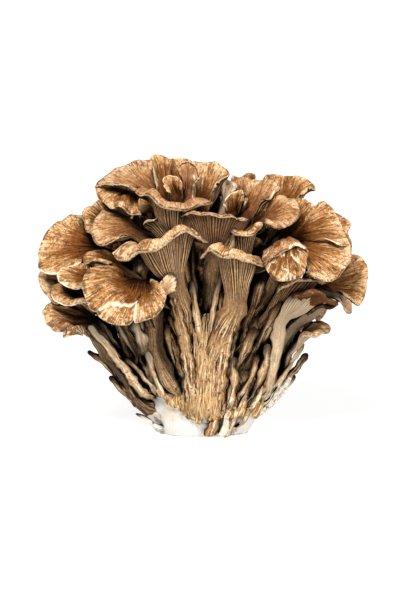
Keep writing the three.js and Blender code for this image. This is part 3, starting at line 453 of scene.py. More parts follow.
boardFrond("frond_front_left_disc", dict(
    root=(-17, 24, 30), through=((-27, 44, 38),), neck=(-34, 79.5, 47), top=(0, 0.8, 0.6),
    stem=(5.5, 3.5, 8, 3), roll=(0.42, 3.2), belly=-1.5, ruffle=(0.35, 4, 0), spacing=0.85, bright=0.36,
    margin=[(-24, 81, 56), (-20, 74, 64), (-24, 63.5, 71), (-33, 59, 75), (-45, 57, 77), (-54, 60.5, 76),
            (-60, 66, 73), (-65, 75, 67), (-65.5, 84, 60), (-60, 90, 52), (-52, 90, 46)],
    splits=((-0.26, 5, 1.3), (0.15, 2.4, 1.4)),
    tears=((0.14, 0.96, 0.1, 0.8, 1.2), (0.1, 0.8, -0.08, 0.72, 1.4), (-0.08, 0.72, -0.26, 0.68, 1.4),
           (-0.26, 0.66, -0.27, 1.02, 1.6), (-0.97, 0.55, -0.95, 1, 3.4)),
))
boardFrond("cap_front_left_flap", dict(
    root=(-27, 72, 54), neck=(-22.5, 76, 58.5), top=(0.1, 0.3, 0.95), stem=(2, 1.5, 3.5, 1.5),
    roll=(0.3, 0.6), belly=0.3, pale=0.45, bright=0.85, nodes=(),
    margin=[(-22, 83, 61), (-19, 86, 60), (-15, 85, 58), (-14, 80.5, 57.5), (-15.5, 75, 58.5)],
    shadows=((-0.95, 0.93, 0.95, 0.93, 1.7),),
))
boardFrond("frond_centre_left_trumpet", dict(
    root=(-8, 42, 28), neck=(-15.5, 80, 50), top=(0, 0.95, -0.2), stem=(6, 4, 5.6, 3.4), roll=(0.22, 9),
    belly=-3, flare=0.35, ruffle=(0.3, 3, 1), rimHalf=1.5, warp=0.6, bright=0.6,
    margin=[(3, 103, 60), (-3, 104.5, 64), (-8, 108, 66), (-12, 107.5, 67), (-17, 104, 69),
            (-23, 99, 71), (-29, 97, 72), (-36, 97, 71), (-41, 93, 69), (-47, 93, 65), (-50, 97, 59)],
))
boardFrond("frond_right_centre_trumpet", dict(
    root=(5, 38, 34), through=((10.5, 53, 40.5),), neck=(17.5, 70, 47), top=(0, 0.95, -0.2),
    stem=(7, 4, 6.4, 3.4), roll=(0.2, 8.5), belly=-2, flare=0.35, ruffle=(0.25, 3, 0), rimHalf=1.4,
    warp=0.6, bright=0.55,
    margin=[(34, 90, 55), (31, 89.5, 62), (26, 91, 66), (20, 94, 68), (12, 94.5, 69), (4, 98, 66),
            (1, 96, 62), (-2, 94, 58)],
))
boardFrond("frond_centre_gilled_fan", dict(
    root=(3, 56, 22), neck=(5.5, 100, 42), top=(0, 0.98, -0.15), stem=(5, 3, 5, 2.6), roll=(0.12, 2),
    belly=-2, flare=0.2, ruffle=(0.4, 3, 0), rimHalf=0.8, tone=1, dim=0.5,
    margin=[(25, 116, 50), (20, 116.5, 55), (13, 117, 58), (5, 117.3, 59), (-1, 118, 57),
            (-6, 119.3, 54), (-13, 116, 49)],
))
boardFrond("frond_centre_upper_fan", dict(
    root=(-6, 58, 20), neck=(-16, 108, 38), top=(0, 0.95, -0.25), stem=(5, 3, 5.5, 2.6), roll=(0.2, 5.5),
    belly=-2, flare=0.2, ruffle=(0.5, 4, 2), rimHalf=1.2, tone=1,
    margin=[(6, 125.3, 40), (0, 123.5, 46), (-6, 121, 50), (-13, 120.3, 54), (-20, 121.5, 55),
            (-26, 124, 54), (-31, 128, 51), (-36, 130, 47), (-38, 131.5, 42)],
))
boardFrond("frond_right_cracked_disc", dict(
    root=(19, 36, 26), neck=(45, 100, 42), top=(0.1, 0.35, 0.93), stem=(5, 3, 5, 3.2), roll=(0.4, 7),
    belly=6, ruffle=(0.5, 6, 0), lumps=0.35, bright=0.32, crack=1,
    margin=[(32, 98, 50), (33, 90, 57), (37, 83.5, 61), (43, 81, 63), (49, 82.5, 62), (55, 85.5, 59),
            (58, 92, 54), (57, 99, 48)],
    tears=((-0.1, 0.42, -0.5, 0.85, 0.9), (0.1, 0.45, 0.5, 0.6, 0.8), (0.5, 0.6, 0.8, 0.55, 0.7)),
))
boardFrond("cap_right_cracked_disc_fold", dict(
    root=(43, 93, 39), neck=(45, 101.5, 42), top=(-0.1, 0.75, 0.65), stem=(3, 2, 5, 1.6), roll=(0.4, 4.5),
    belly=3, ruffle=(0.3, 4, 0), tone=0.9, bright=0.35, nodes=(),
    margin=[(32.5, 91, 58), (38, 94.5, 61.5), (44, 98, 61.5), (49.5, 100.8, 59.5), (54, 100, 57),
            (57.5, 97.5, 52)],
    tears=((-0.1, 0.97, -0.95, 0.97, 1),),
))
boardFrond("frond_right_inner_cup", dict(
    root=(17, 44, 20), neck=(42, 84, 36), top=(0.1, 0.9, 0.3), stem=(4.5, 2.8, 5, 2.5), roll=(0.3, 4.5),
    belly=-1,
    margin=[(33, 97, 46), (38, 99.5, 50), (45, 101, 53), (51, 101, 53), (56, 97.5, 50), (58, 94, 44)],
))
boardFrond("frond_right_mid_fan", dict(
    root=(8, 60, 22), neck=(22, 97, 38), top=(0, 0.95, 0), stem=(4.5, 2.8, 5, 2.4), roll=(0.35, 5),
    belly=-1, flare=0.2, ruffle=(0.4, 3, 0),
    margin=[(33, 115, 44), (31, 111.5, 49), (27, 108.7, 52), (21, 107.8, 54), (16, 109, 52),
            (12.5, 111.5, 46)],
))
boardFrond("frond_right_upper_disc", dict(
    root=(10, 64, 18), neck=(33, 113, 34), top=(0.1, 0.6, 0.8), stem=(4.5, 2.8, 5, 2.6), roll=(0.3, 3.5),
    ruffle=(0.6, 5, 1), lumps=0.45, creases=0.5, tone=0.75,
    margin=[(34, 115, 46), (37, 111.5, 49), (42, 110.3, 50), (47, 111.3, 49), (51, 114.5, 47),
            (53.5, 119, 43), (52.5, 124, 38), (48, 128.5, 33), (42, 129.5, 30), (37, 128, 28)],
))
boardFrond("frond_right_shell_lower", dict(
    root=(26, 36, 14), neck=(50, 97, 30), top=(0.3, 0.3, 0.9), stem=(6, 3.5, 6, 3), roll=(0.3, 4), belly=4,
    ruffle=(0.5, 4, 0), bright=0.6,
    margin=[(57, 86.5, 50), (61, 83, 51), (66, 80.5, 51), (72, 82, 49), (78, 88, 45), (81.5, 95, 40),
            (82, 101, 34), (79, 107, 27), (72, 113, 22)],
))
boardFrond("frond_right_shell_upper", dict(
    root=(22, 46, 12), neck=(50, 105, 24), top=(0.3, 0.45, 0.8), stem=(5.5, 3, 6, 2.8), roll=(0.3, 4),
    belly=4, ruffle=(0.5, 3, 1), bright=0.56,
    margin=[(75, 101.5, 42), (82, 101, 34), (80, 107, 31), (77, 113, 30), (72.5, 121, 28), (66, 126, 25),
            (61.5, 123.5, 24)],
    tears=((0.93, 0.5, 0.93, 1, 1.8), (-0.93, 0.6, -0.88, 1, 2)),
))
boardFrond("frond_upper_left_cap", dict(
    root=(-13, 50, 20), neck=(-37, 108, 34), top=(-0.2, 0.5, 0.8), stem=(5.5, 3, 5.5, 2.8), roll=(0.3, 2.5),
    belly=2, ruffle=(0.6, 4, 0), creases=0.4, tone=0.75,
    margin=[(-46, 105, 48), (-51, 102.3, 51), (-57, 101, 51), (-60.5, 104, 48), (-61.5, 110, 43),
            (-60, 116, 38), (-56, 120.8, 33), (-51, 122, 29), (-45, 119, 26)],
))
boardFrond("frond_left_inner_curl", dict(
    root=(-18, 42, 22), neck=(-45, 88, 38), top=(-0.1, 0.7, 0.6), stem=(4.5, 2.6, 4.5, 2.2), roll=(0.3, 2),
    bright=0.35,
    margin=[(-52, 90.5, 50), (-59, 92.5, 50), (-65, 92, 46), (-65, 96, 42), (-60, 98.7, 38),
            (-53, 98, 34)],
))
boardFrond("frond_left_small_disc", dict(
    root=(-25, 26, 26), through=((-37, 48, 33),), neck=(-63, 82, 42), top=(-0.2, 0.3, 0.9),
    stem=(4.2, 2.5, 4, 2.2), roll=(0.35, 2.5),
    margin=[(-66, 78, 54), (-70, 77.5, 55), (-76, 79, 54), (-80, 82.5, 51), (-80, 87.5, 48),
            (-73, 91, 45), (-66, 93, 42), (-60, 93, 40)],
    tears=((-0.9, 0.99, 0.9, 0.99, 1),),
))
boardFrond("frond_left_cup", dict(
    root=(-29, 20, 20), through=((-40, 38, 26),), neck=(-60, 74, 36), top=(-0.2, 0.6, 0.7),
    stem=(4.5, 2.5, 4.5, 2.2), roll=(0.25, 2.5), belly=-2, ruffle=(0.4, 3, 1),
    margin=[(-60, 70.5, 49), (-66, 69.5, 50), (-72, 68, 50), (-78, 68.7, 48), (-83, 72, 44),
            (-83.5, 77, 39), (-78, 81, 35)],
    tears=((-0.9, 0.99, 0.9, 0.99, 0.8),),
))
boardFrond("frond_left_large", dict(
    root=(-27, 34, 8), neck=(-57, 97, 24), top=(-0.3, 0.4, 0.9), stem=(6.5, 3.5, 6.5, 3), roll=(0.3, 3),
    belly=4, ruffle=(0.6, 4, 0), bright=0.42,
    margin=[(-68, 89.5, 45), (-75, 88.8, 46), (-82, 86, 45), (-89.5, 86.5, 41), (-91.5, 94, 37),
            (-90, 103, 33), (-84, 112, 29), (-75, 118.5, 24), (-66, 118.5, 19)],
    tears=((-0.98, 0.85, -0.9, 1, 1), (-0.9, 0.985, -0.35, 0.985, 1)),
))
boardFrond("frond_left_edge_fold", dict(
    root=(-34, 26, 10), through=((-48, 46, 18),), neck=(-68, 74, 28), top=(-0.4, 0.5, 0.7),
    stem=(4.5, 2.6, 4.5, 2.2), roll=(0.25, 2), ruffle=(0.5, 3, 0), pale=0.3,
    margin=[(-78, 72, 40), (-82, 70, 39), (-87, 74, 37), (-91, 80, 33), (-91, 86.5, 29), (-85, 91, 26)],
))
boardFrond("frond_left_low_ruffle", dict(
    root=(-33, 15, 20), through=((-42.5, 29, 26), (-52.5, 44, 30)), neck=(-62, 57, 30),
    top=(-0.2, 0.8, 0.5), stem=(6.5, 2.8, 9, 2.6), roll=(0.25, 4), belly=0, ruffle=(1.2, 5, 0), pale=0.12,
    margin=[(-66, 51.5, 38), (-71, 52, 41), (-76, 50.5, 43), (-81, 52.5, 43), (-86, 57, 42),
            (-89.5, 62.5, 39), (-88.5, 68, 35), (-83, 72, 31), (-75, 73.5, 28)],
    splits=((-0.4, 5, 1.4), (0.1, 6, 1.2), (0.5, 4, 1.2)),
    tears=((-0.7, 0.9, -0.45, 0.75, 0.8), (0.1, 0.6, 0.1, 1, 1), (0.5, 0.7, 0.5, 1, 1),
           (-0.9, 1, 0.6, 1, 1)),
))
boardFrond("frond_top_left_large", dict(
    root=(-10, 66, 14), neck=(-27, 127, 22), top=(-0.3, 0.6, 0.7), stem=(5.5, 3.2, 5.5, 2.8), roll=(0.3, 2),
    belly=3, ruffle=(0.5, 4, 0), tone=0.75, bright=0.72, **crinkled,
    margin=[(-39, 130, 46), (-42, 132, 46), (-47, 134.6, 44), (-54, 135, 40), (-60, 132.5, 35),
            (-56, 139, 30), (-50, 143.7, 24), (-42, 147.2, 18), (-35, 149.7, 13), (-28, 150, 9)],
    shadows=((1, 0.15, 1, 0.62, 4.5), (-1, 0.15, -1, 0.62, 4.5)),
))
boardFrond("frond_top_left_under", dict(
    root=(-12, 60, 16), neck=(-35, 133, 20), top=(-0.3, 0.55, 0.8), stem=(4.5, 2.6, 5, 2.4), roll=(0.4, 4),
    ruffle=(1, 4, 1), tone=0.6, bright=0.35, **crinkled,
    margin=[(-34, 117, 44), (-38, 117.5, 45), (-42, 119, 45.5), (-47, 122, 45), (-52, 121.5, 42.5),
            (-57, 125.5, 38), (-59.5, 131.5, 33), (-55, 136, 27)],
))
boardFrond("frond_upper_left_back", dict(
    root=(-18, 48, 8), neck=(-46, 108, 22), top=(-0.3, 0.6, 0.7), stem=(5.5, 3, 5.5, 2.6), roll=(0.25, 2),
    ruffle=(0.9, 4, 0),
    margin=[(-61, 107, 38), (-64.5, 108.5, 36), (-66, 113, 32), (-67, 119, 27), (-64, 123.5, 23),
            (-58, 125.3, 19), (-52, 125, 16)],
))
boardFrond("frond_centre_small_leaf", dict(
    root=(-10, 62, 26), neck=(-18, 104, 34), top=(0, 0.9, -0.4), stem=(2.5, 2, 3, 1.8), roll=(0.2, 1),
    belly=0, ruffle=(0.3, 2, 0),
    margin=[(-19, 115, 44), (-24, 116.8, 44), (-28, 115, 44), (-33.5, 113, 42), (-31, 109.5, 36)],
))
boardFrond("frond_top_centre_gold", dict(
    root=(2, 70, 16), neck=(-1, 120, 16), top=(0, 0.3, 0.95), stem=(4, 3, 4.5, 2.6), roll=(0.25, 1.5),
    belly=-1, ruffle=(0.5, 3, 0), bright=0.6, **crinkled,
    margin=[(7, 133, 24), (11, 138.5, 22), (13.7, 142, 19), (12, 145.5, 15), (7, 148, 12), (0, 147.5, 9),
            (-6, 148.7, 6), (-10, 148, 4)],
))
boardFrond("frond_top_rounded_leaf", dict(
    root=(-4, 70, 20), neck=(-8, 125, 27), top=(0, 0.2, 0.98), stem=(2.8, 2.2, 3, 2), roll=(0.3, 1.5),
    belly=-1, ruffle=(0.3, 2, 0), tone=1, bright=0.4, **crinkled,
    margin=[(-4, 136, 31), (-2.6, 140, 29), (-4.5, 145.5, 25), (-8, 147.8, 22), (-12, 146.5, 22),
            (-14.3, 142, 24)],
    tears=((0.85, 0.1, 0.9, 0.55, 1.8), (0.9, 0.66, 0.1, 0.76, 0.8)),
    shadows=((-0.9, 0.97, 0.9, 0.97, 0.9), (-0.95, 0.4, -0.95, 1, 1.2)),
))
boardFrond("frond_top_folded_leaf", dict(
    root=(-6, 68, 20), neck=(-13.5, 125, 28), top=(0.1, 0.2, 0.95), stem=(2.8, 2.2, 3, 2), roll=(0.25, 1.5),
    belly=-2, ruffle=(0.4, 3, 0), bright=0.4, **crinkled,
    margin=[(-11.3, 134, 31), (-14, 139.7, 29), (-19, 141, 28), (-22.3, 138.5, 29), (-20.5, 131, 33)],
    tears=((-0.9, 0.97, 0.9, 0.97, 0.9),),
))
boardFrond("frond_top_left_striped", dict(
    root=(-6, 68, 12), neck=(-22, 128, 14), top=(0, 0.2, 0.95), stem=(3, 2.4, 3.6, 2.2), roll=(0.2, 1),
    belly=-2, ruffle=(0.3, 2, 0), **crinkled,
    margin=[(-17, 149.5, 6), (-22, 151.5, 5), (-27, 152.7, 6), (-30, 150, 9), (-30.5, 144, 13)],
    tears=((-0.85, 0.2, -0.75, 0.95, 2.8), (-0.5, 0.35, -0.5, 0.95, 1.6)),
))
boardFrond("frond_top_back_leaf", dict(
    root=(-2, 68, 10), neck=(-11, 126, 7), top=(0, 0.3, 0.9), stem=(3, 2.4, 3.4, 2.2), roll=(0.2, 1),
    belly=-1, ruffle=(0.3, 2, 0), **crinkled,
    margin=[(-3, 147.5, 0), (-7, 149.3, -1), (-12, 150.7, -1), (-19, 149.7, 0), (-24, 147.5, 1)],
))
boardFrond("frond_top_pale_lump", dict(
    root=(6, 68, 12), neck=(12, 124, 13), top=(0, 0.5, 0.8), stem=(2.6, 2.2, 3, 2), roll=(0.3, 1),
    ruffle=(0.4, 3, 0), pale=1, bright=0.9, **crinkled,
    margin=[(18, 133, 17), (18.5, 137, 14), (14, 138.5, 12), (9.5, 137, 12), (8, 133, 14)],
))
boardFrond("frond_top_small_cup", dict(
    root=(8, 66, 20), neck=(15, 117, 27), top=(0, 0.3, 0.95), stem=(2.6, 2, 3, 1.8), roll=(0.25, 0.5),
    belly=-2.5, ruffle=(0.2, 2, 0), bright=0.3, **crinkled,
    margin=[(22, 126, 34), (22, 132, 31), (17, 131.5, 31), (12.5, 128.5, 32), (10.7, 124, 33)],
    tears=((-0.95, 0.5, -0.95, 1, 0.9), (-0.9, 0.98, 0.5, 0.98, 0.8)),
))
boardFrond("frond_top_right_fold", dict(
    root=(10, 66, 18), neck=(23, 116, 26), top=(0, 0.5, 0.8), stem=(3, 2.4, 3.5, 2.4), roll=(0.3, 2),
    belly=0, ruffle=(0.9, 4, 0), tone=0.75, **crinkled,
    margin=[(34, 128, 38), (39, 129.5, 35), (42.3, 133.5, 31), (40, 137.3, 27), (35, 138.7, 24),
            (28, 138.3, 23), (24.5, 134.5, 26), (22.5, 126, 31)],
    tears=((0.97, 0.55, 0.97, 1, 1.1), (0.97, 0.97, 0.5, 0.97, 0.8), (-0.97, 0.6, -0.97, 1, 1)),
    shadows=((0.72, 0.3, 0.75, 0.85, 1.3), (-0.6, 0.4, -0.75, 0.9, 1)),
))
boardFrond("frond_top_right_fan", dict(
    root=(12, 64, 10), neck=(43, 118, 10), top=(0, 0.6, 0.8), stem=(4, 3, 4.5, 2.6), roll=(0.2, 2),
    ruffle=(0.5, 3, 0), **crinkled,
    margin=[(56, 129.5, 20), (60, 132.5, 18), (63, 133.5, 14), (58.5, 138, 10), (52, 140.3, 7),
            (44, 141.8, 4), (36, 142.6, 3), (33, 138, 6)],
))
boardFrond("frond_top_right_grey", dict(
    root=(8, 66, 8), neck=(21, 122, 8), top=(0, 0.5, 0.8), stem=(3, 2.4, 3.4, 2.2), roll=(0.25, 1), belly=0,
    ruffle=(0.4, 3, 0), tone=0.75, **crinkled,
    margin=[(28.5, 138, 9), (25, 140.5, 6), (20, 140.5, 5), (16, 141, 6), (15.5, 137, 9)],
))
boardFrond("frond_right_upper_leaf", dict(
    root=(16, 56, 12), neck=(47, 108, 22), top=(0.2, 0.5, 0.8), stem=(4.5, 2.8, 5, 2.4), roll=(0.25, 2),
    ruffle=(0.6, 3, 0),
    margin=[(59, 116, 33), (61.5, 123, 28), (57, 127, 24), (50, 129, 20)],
))
boardFrond("frond_right_back_shell", dict(
    root=(24, 44, 4), neck=(56, 100, 14), top=(0.4, 0.5, 0.7), stem=(5.5, 3, 5.5, 2.6), roll=(0.2, 2),
    belly=2, ruffle=(0.5, 4, 0),
    margin=[(80, 95, 28), (82.5, 102, 25), (81, 108, 23), (82, 113, 21), (78, 117, 20), (72, 122, 19)],
))
boardFrond("frond_right_arch", dict(
    root=(33, 17, 22), through=((38, 32, 29), (41, 48, 34)), neck=(44, 61, 38), top=(0.2, 0.95, -0.1),
    stem=(3.8, 2.8, 3.6, 2.1), roll=(0.3, 5), belly=0, lumps=0.12, creases=0.08, gillDepth=0.25, fray=1.1,
    pale=0.32, bright=0.15, lap=1.6, dim=0.3,
    margin=[(74.5, 71, 40), (74, 68, 46), (70, 70.5, 51), (65, 74.5, 54), (58, 73.5, 54), (52, 73, 51),
            (48, 72, 45)],
))
boardFrond("frond_right_arch_lip", dict(
    root=(34, 20, 12), through=((42, 39, 19),), neck=(50, 56, 26), top=(0.1, 0.95, 0),
    stem=(4.5, 2.6, 4.5, 2.2), roll=(0.2, 3), belly=0, ruffle=(0.3, 2, 0), gillDepth=0.2, pale=0.25,
    lap=0.7, dim=0.8,
    margin=[(74.5, 69, 34), (74, 67.5, 38), (70, 66, 40), (64, 66.5, 41), (57, 63, 39)],
    shadows=((-1, 0.95, 0.6, 0.98, 4), (-1, 0.2, -1, 0.97, 4)),
))
boardFrond("frond_right_outer_leaf", dict(
    root=(30, 30, 6), neck=(64, 79, 18), top=(0.3, 0.2, 0.95), stem=(6, 3, 6, 2.6), roll=(0.2, 1.5),
    ruffle=(0.6, 4, 0), bright=0.52,
    margin=[(77, 75, 34), (82, 72, 33), (86.5, 68, 31), (89.5, 73, 27), (91.5, 80, 23), (91.3, 88, 19),
            (89, 95, 16), (85, 97, 14), (79, 95.5, 13)],
))
boardFrond("frond_right_tongue", dict(
    root=(34, 26, 10), neck=(72, 74, 30), top=(0.6, 0.6, 0.4), stem=(3.5, 2.4, 3, 1.8), roll=(0.3, 1.5),
    ruffle=(0.2, 2, 0), pale=0.4, bright=0.1,
    margin=[(77.5, 67, 38), (79, 63.3, 39), (82.3, 63.5, 38), (82, 69, 35)],
))
boardFrond("frond_right_thin_arch", dict(
    root=(22, 40, 14), neck=(38, 64, 34), top=(0, 0.95, -0.1), stem=(5, 2.6, 5, 2.2), roll=(0.15, 3),
    belly=0, ruffle=(0.4, 3, 0), tone=0.7, bright=0.35, dim=0.6,
    margin=[(68, 80, 38), (64, 81, 44), (58, 82.3, 48), (51, 81.5, 49), (45, 78.5, 48), (41, 75, 45)],
))
boardFrond("frond_right_low_tongue", dict(
    root=(33, 14, 12), through=((43.5, 29, 18),), neck=(51.5, 46, 24), top=(0.2, 0.8, 0.5),
    stem=(5.5, 2.8, 5.5, 2.4), roll=(0.35, 4), ruffle=(0.4, 3, 0), tone=0.6, pale=0.3, bright=0.15,
    margin=[(53, 50.5, 36), (58, 51.5, 38), (63, 51.3, 38), (66, 53, 37), (70, 54, 34), (69, 58.5, 30),
            (64, 60.5, 27), (58, 59.5, 24)],
))
print("front fronds shaped")

# ---- fronds round the sides and back ----

backShape = dict(
    # root, neck and rim each as the distance from the axis and the height, in millimetres
    root=(20, 30), top=(0.45, 1), roll=(0.3, 6), belly=0, stem=(5.5, 3.2, 6.5, 2.8),
    spacing=1.4, rowStep=2.3, stemStep=3.6,
)
backFronds = dict(
    low_right=dict(azimuth=119, neck=(47, 62), rim=(77, 66), span=24, droop=8),
    low_middle=dict(azimuth=159, neck=(45, 56), rim=(71, 60), span=28, droop=8),
    low_left=dict(azimuth=203, neck=(45, 58), rim=(72, 63), span=28, droop=8),
    low_far_left=dict(azimuth=242, neck=(48, 60), rim=(78, 64), span=24, droop=8),
    mid_right=dict(azimuth=134, neck=(40, 88), rim=(73, 91), span=29, droop=10),
    mid_middle=dict(azimuth=181, neck=(37, 84), rim=(67, 90), span=33, droop=10),
    mid_left=dict(azimuth=228, neck=(40, 90), rim=(74, 94), span=29, droop=10),
    high_right=dict(azimuth=146, neck=(24, 114), rim=(55, 120), span=38, droop=10),
    high_left=dict(azimuth=207, neck=(22, 114), rim=(54, 123), span=40, droop=10),
)

for name, b in backFronds.items():
    b = {**backShape, **b}
    turn, (rimOut, rimUp) = b["azimuth"], b["rim"]
    step = np.linspace(-1, 1, 5)
    placed = {key: roundAxis(turn, *b[key]) for key in ("root", "neck", "top")}
    placed["top"] = unit(placed["top"])
    margin = roundAxis(turn + step * b["span"], rimOut * (1 - 0.16 * step**2), rimUp - b["droop"] * step**2)
    addShape("cap_back_" + name, ["frond_back_" + name], "frond_skin",
             frondShape({**b, **placed, "margin": margin, "ruffle": (0.7, 4, turn), "seed": turn}))
print("back fronds shaped")

# ---- shoots with no cap ----


def shootShape(s):
    # a bent ribbon on a quadratic curve, its edges curled, narrowing to a rounded tip
    s = {**shootLook, **s}
    root, tip, bow, seed = s["root"], s["tip"], s["bow"], s["seed"]
    length = np.linalg.norm(tip - root)
    t = np.linspace(0, 1, int(length / s["rowStep"]) + 8)
    t = np.r_[t[:-1], mix(t[-2], 1, np.array([0.4, 0.75, 0.93, 1.0]))]
    run = t * length
    line = curveThrough([root * [0.8, 0.8, 0.9], root, mix(root, tip, 0.5) + bow * 0.5, tip], t)[0]
    tangent = unit(np.gradient(line, axis=0))
    right = unit(s["flat"] - tangent * (tangent @ s["flat"])[:, None])
    normal = np.cross(right, tangent)
    turn = (s["twist"] * lineNoise(run, 38, seed + 9))[:, None]
    c, n = np.cos(turn), np.sin(turn)
    right, normal = right * c + normal * n, normal * c - right * n
    v = np.linspace(-1, 1, s["columns"])
    v = 0.45 * v + 0.55 * np.sin(v * math.pi / 2)
    jagged = [(lineNoise(run, 9, k) + 0.6 * lineNoise(run, 3.5, k + 1))[:, None] for k in (seed, seed + 4)]
    closing = np.sqrt(np.clip(1 - np.clip((run - length + 2) / 2, 0, 1) ** 2 * 0.97, 0, 1))
    half = (mix(*s["half"], t ** s["narrow"]) * closing)[:, None]
    half = half * (1 + s["jag"] * np.where(v > 0, *jagged))
    curl = s["curl"] * lineNoise(run, 30, seed + 7)[:, None]
    sheet = line[:, None] + right[:, None] * (half * v)[..., None]
    sheet = sheet + normal[:, None] * ((v**2 - 0.4) * half * curl)[..., None]
    rayRun, rowRun = np.meshgrid(v * s["half"][0] * 1.4, run)
    fibre = ripple(np.stack([rayRun, rowRun * 0.12], -1), 2.2, seed) * 0.1
    profile = np.sqrt(np.clip(1 - v**2, 0, None))
    push = (half * (s["thin"] + 0.16 * ripple(sheet, 6, seed)) + fibre) * profile
    push = push[..., None] * normal[:, None]
    return closedStrip(
        sheet + push, sheet - push, ray=(rayRun, rayRun + underShift), run=rowRun,
        along=(t - 1)[:, None] * 0.9, face=(profile, -profile), stem=1,
        tip=smooth(0.7, 1, t)[:, None] * s["tipped"], side=np.abs(v),
    )


shootLook = dict(
    flat=np.array([1.0, 0, 0]),  # the way its width runs
    rowStep=1.1,
    columns=20,
    thin=0.8,  # thickness as a share of the width
    narrow=1,
    jag=0.2,
    curl=0.3,
    twist=0,
    tipped=1,  # how dark the tip is
)
ribbonLook = dict(narrow=0.8, thin=0.3, curl=1.3, twist=0.8, jag=0.28)
ribLook = dict(thin=0.6, tipped=0, columns=24, tone=0.3, bare=0)
shoots = dict(
    main_stem_left=dict(root=(-6, 44, 36), tip=(-19, 63, 44), bow=(-1, -1, 1), half=(3, 1.6)),
    main_stem_pale=dict(
        root=(-1.5, 50, 36), tip=(-6.7, 82, 42), bow=(-1, 0, 1), half=(2.8, 2), pale=0.3, bare=0,
    ),
    main_stem_tall=dict(
        root=(4.5, 52, 37), tip=(9.7, 85, 42), bow=(-1.5, 0, 1), half=(3, 1.5), pale=0.25, bare=0,
    ),
    main_stem_short=dict(root=(8.5, 50, 38), tip=(10.6, 75.5, 44), bow=(0, 0, 0), half=(2.4, 1.2), bare=0),
    left_tip=dict(root=(-42, 22, 18), tip=(-64, 43, 24), bow=(1, 4, 0), half=(2.6, 1.6)),
    left_low=dict(root=(-32, 14, 20), tip=(-52, 29, 24), bow=(-2, -4, 0), half=(3.2, 1.6)),
    left_stub=dict(root=(-26, 1, 20), tip=(-37.5, 8.2, 22), bow=(0, 2, 0), half=(1.6, 1.1)),
    right_finger=dict(root=(32, 10, 16), tip=(58, 41.5, 24), bow=(1, 0, 0), half=(3.4, 1.8)),
    right_low=dict(root=(34, 12, 10), tip=(51, 29.5, 18), bow=(1, -2, 0), half=(3, 1.6)),
)

frontRibbons = [
    # left of the main stem, then right of it
    dict(root=(-28, 21, 24), tip=(-49, 64, 33), bow=(2, -2, 1), half=(3.4, 2.8), pale=0.8),
    dict(root=(-25, 22, 30), tip=(-37.5, 60, 41), bow=(-1, 0, 3), half=(4.6, 3.6), pale=0.85),
    dict(root=(-22, 19, 32), tip=(-30.5, 43, 42), bow=(-2, -1, 1), half=(2.9, 1.9), pale=0.7),
    dict(root=(-31, 20, 20), tip=(-58, 60, 29), bow=(2, -1, 0), half=(3.2, 2.6), pale=0.65),
    dict(root=(-32, 22, 10), tip=(-62, 62, 18), bow=(2, 0, 0), half=(3.4, 2.4)),
    dict(root=(-30, 25, 28), tip=(-43, 39, 37), bow=(0, 3, 1), half=(2.2, 1.5)),
    dict(root=(-27, 23, 33), tip=(-35, 33, 41), bow=(-2, 0, 2), half=(2, 1.5), pale=0.7),
    dict(root=(-34, 24, 24), tip=(-50, 44, 33), bow=(1, -3, 0), half=(2, 1.4), pale=0.7),
    dict(root=(-18, 24, 30), tip=(-24, 66, 40), bow=(-3, 0, 0), half=(4.5, 3), tone=0.7),
    dict(root=(-15, 34, 32), tip=(-20, 58, 42), bow=(-2, 0, 1), half=(2.6, 1.5)),
    dict(root=(-33, 14, 24), tip=(-46, 24, 31), bow=(-1, -3, 0), half=(1.8, 1.2)),
    dict(root=(15, 13, 31), tip=(16.5, 40, 36), bow=(3, 0, 1), half=(2.7, 1.9), pale=0.25),
    dict(root=(20, 18, 30), tip=(30, 41, 36), bow=(3, 0, 1), half=(3, 2.2)),
    dict(root=(26, 17, 28), tip=(36, 47, 35), bow=(3, -1, 0), half=(3.2, 2.3), pale=0.2),
    dict(root=(32, 16, 22), tip=(49.5, 36.5, 29), bow=(2, -2, 0), half=(2.6, 1.4), pale=0.6),
    dict(root=(18, 38, 26), tip=(34, 66, 31), bow=(0, -2, 0), half=(3.8, 2.8), tone=0.7),
    dict(root=(13, 42, 32), tip=(22, 64, 36), bow=(2, 0, 0), half=(2.4, 1.3)),
    dict(root=(24, 30, 22), tip=(44, 72, 26), bow=(2, -2, 0), half=(4, 3), tone=0.7),
    dict(root=(30, 26, 14), tip=(52, 62, 18), bow=(3, -2, 0), half=(3.6, 2.6), tone=0.7),
    dict(root=(34, 22, 20), tip=(56, 47, 28), bow=(2, -2, 0), half=(2.4, 1.5), pale=0.65),
    dict(root=(27, 12, 30), tip=(33, 24, 34), bow=(2, 0, 1), half=(1.8, 1.2), pale=0.7),
    dict(root=(-25, 52, 20), tip=(-38, 97, 26), bow=(-1, 0, 0), half=(4.5, 4.5), tone=0.7),
    dict(root=(34, 24, 8), tip=(54, 54, 10), bow=(2, 0, 0), half=(4, 3), tone=0.7),
    dict(root=(30, 50, 14), tip=(57, 99, 16), bow=(2, 0, 0), half=(3.5, 3.5), tone=0.7),
    dict(root=(-14, 56, 10), tip=(-38, 119, 14), bow=(-2, 0, 0), half=(3.5, 3.5), tone=0.7),
    dict(root=(-33, 20, 31), tip=(-63, 57, 38), bow=(3, -1, 2), half=(2.8, 2.3), pale=0.8),
    dict(root=(4, -3, 27), tip=(9, 19, 32), bow=(2, 0, 1), half=(3.4, 2.2), bare=0),
    dict(root=(11, -3, 27), tip=(15, 26, 32), bow=(2, 0, 1), half=(2.2, 1.6), pale=0.4),
    dict(root=(14, -3, 27), tip=(26, 24, 31), bow=(-1, 2, 1), half=(1.7, 1.1), bare=0, pale=0.7),
    dict(root=(21, 2, 25), tip=(35, 23, 29), bow=(-2, 2, 1), half=(2, 1.2), bare=0, pale=0.8),
]

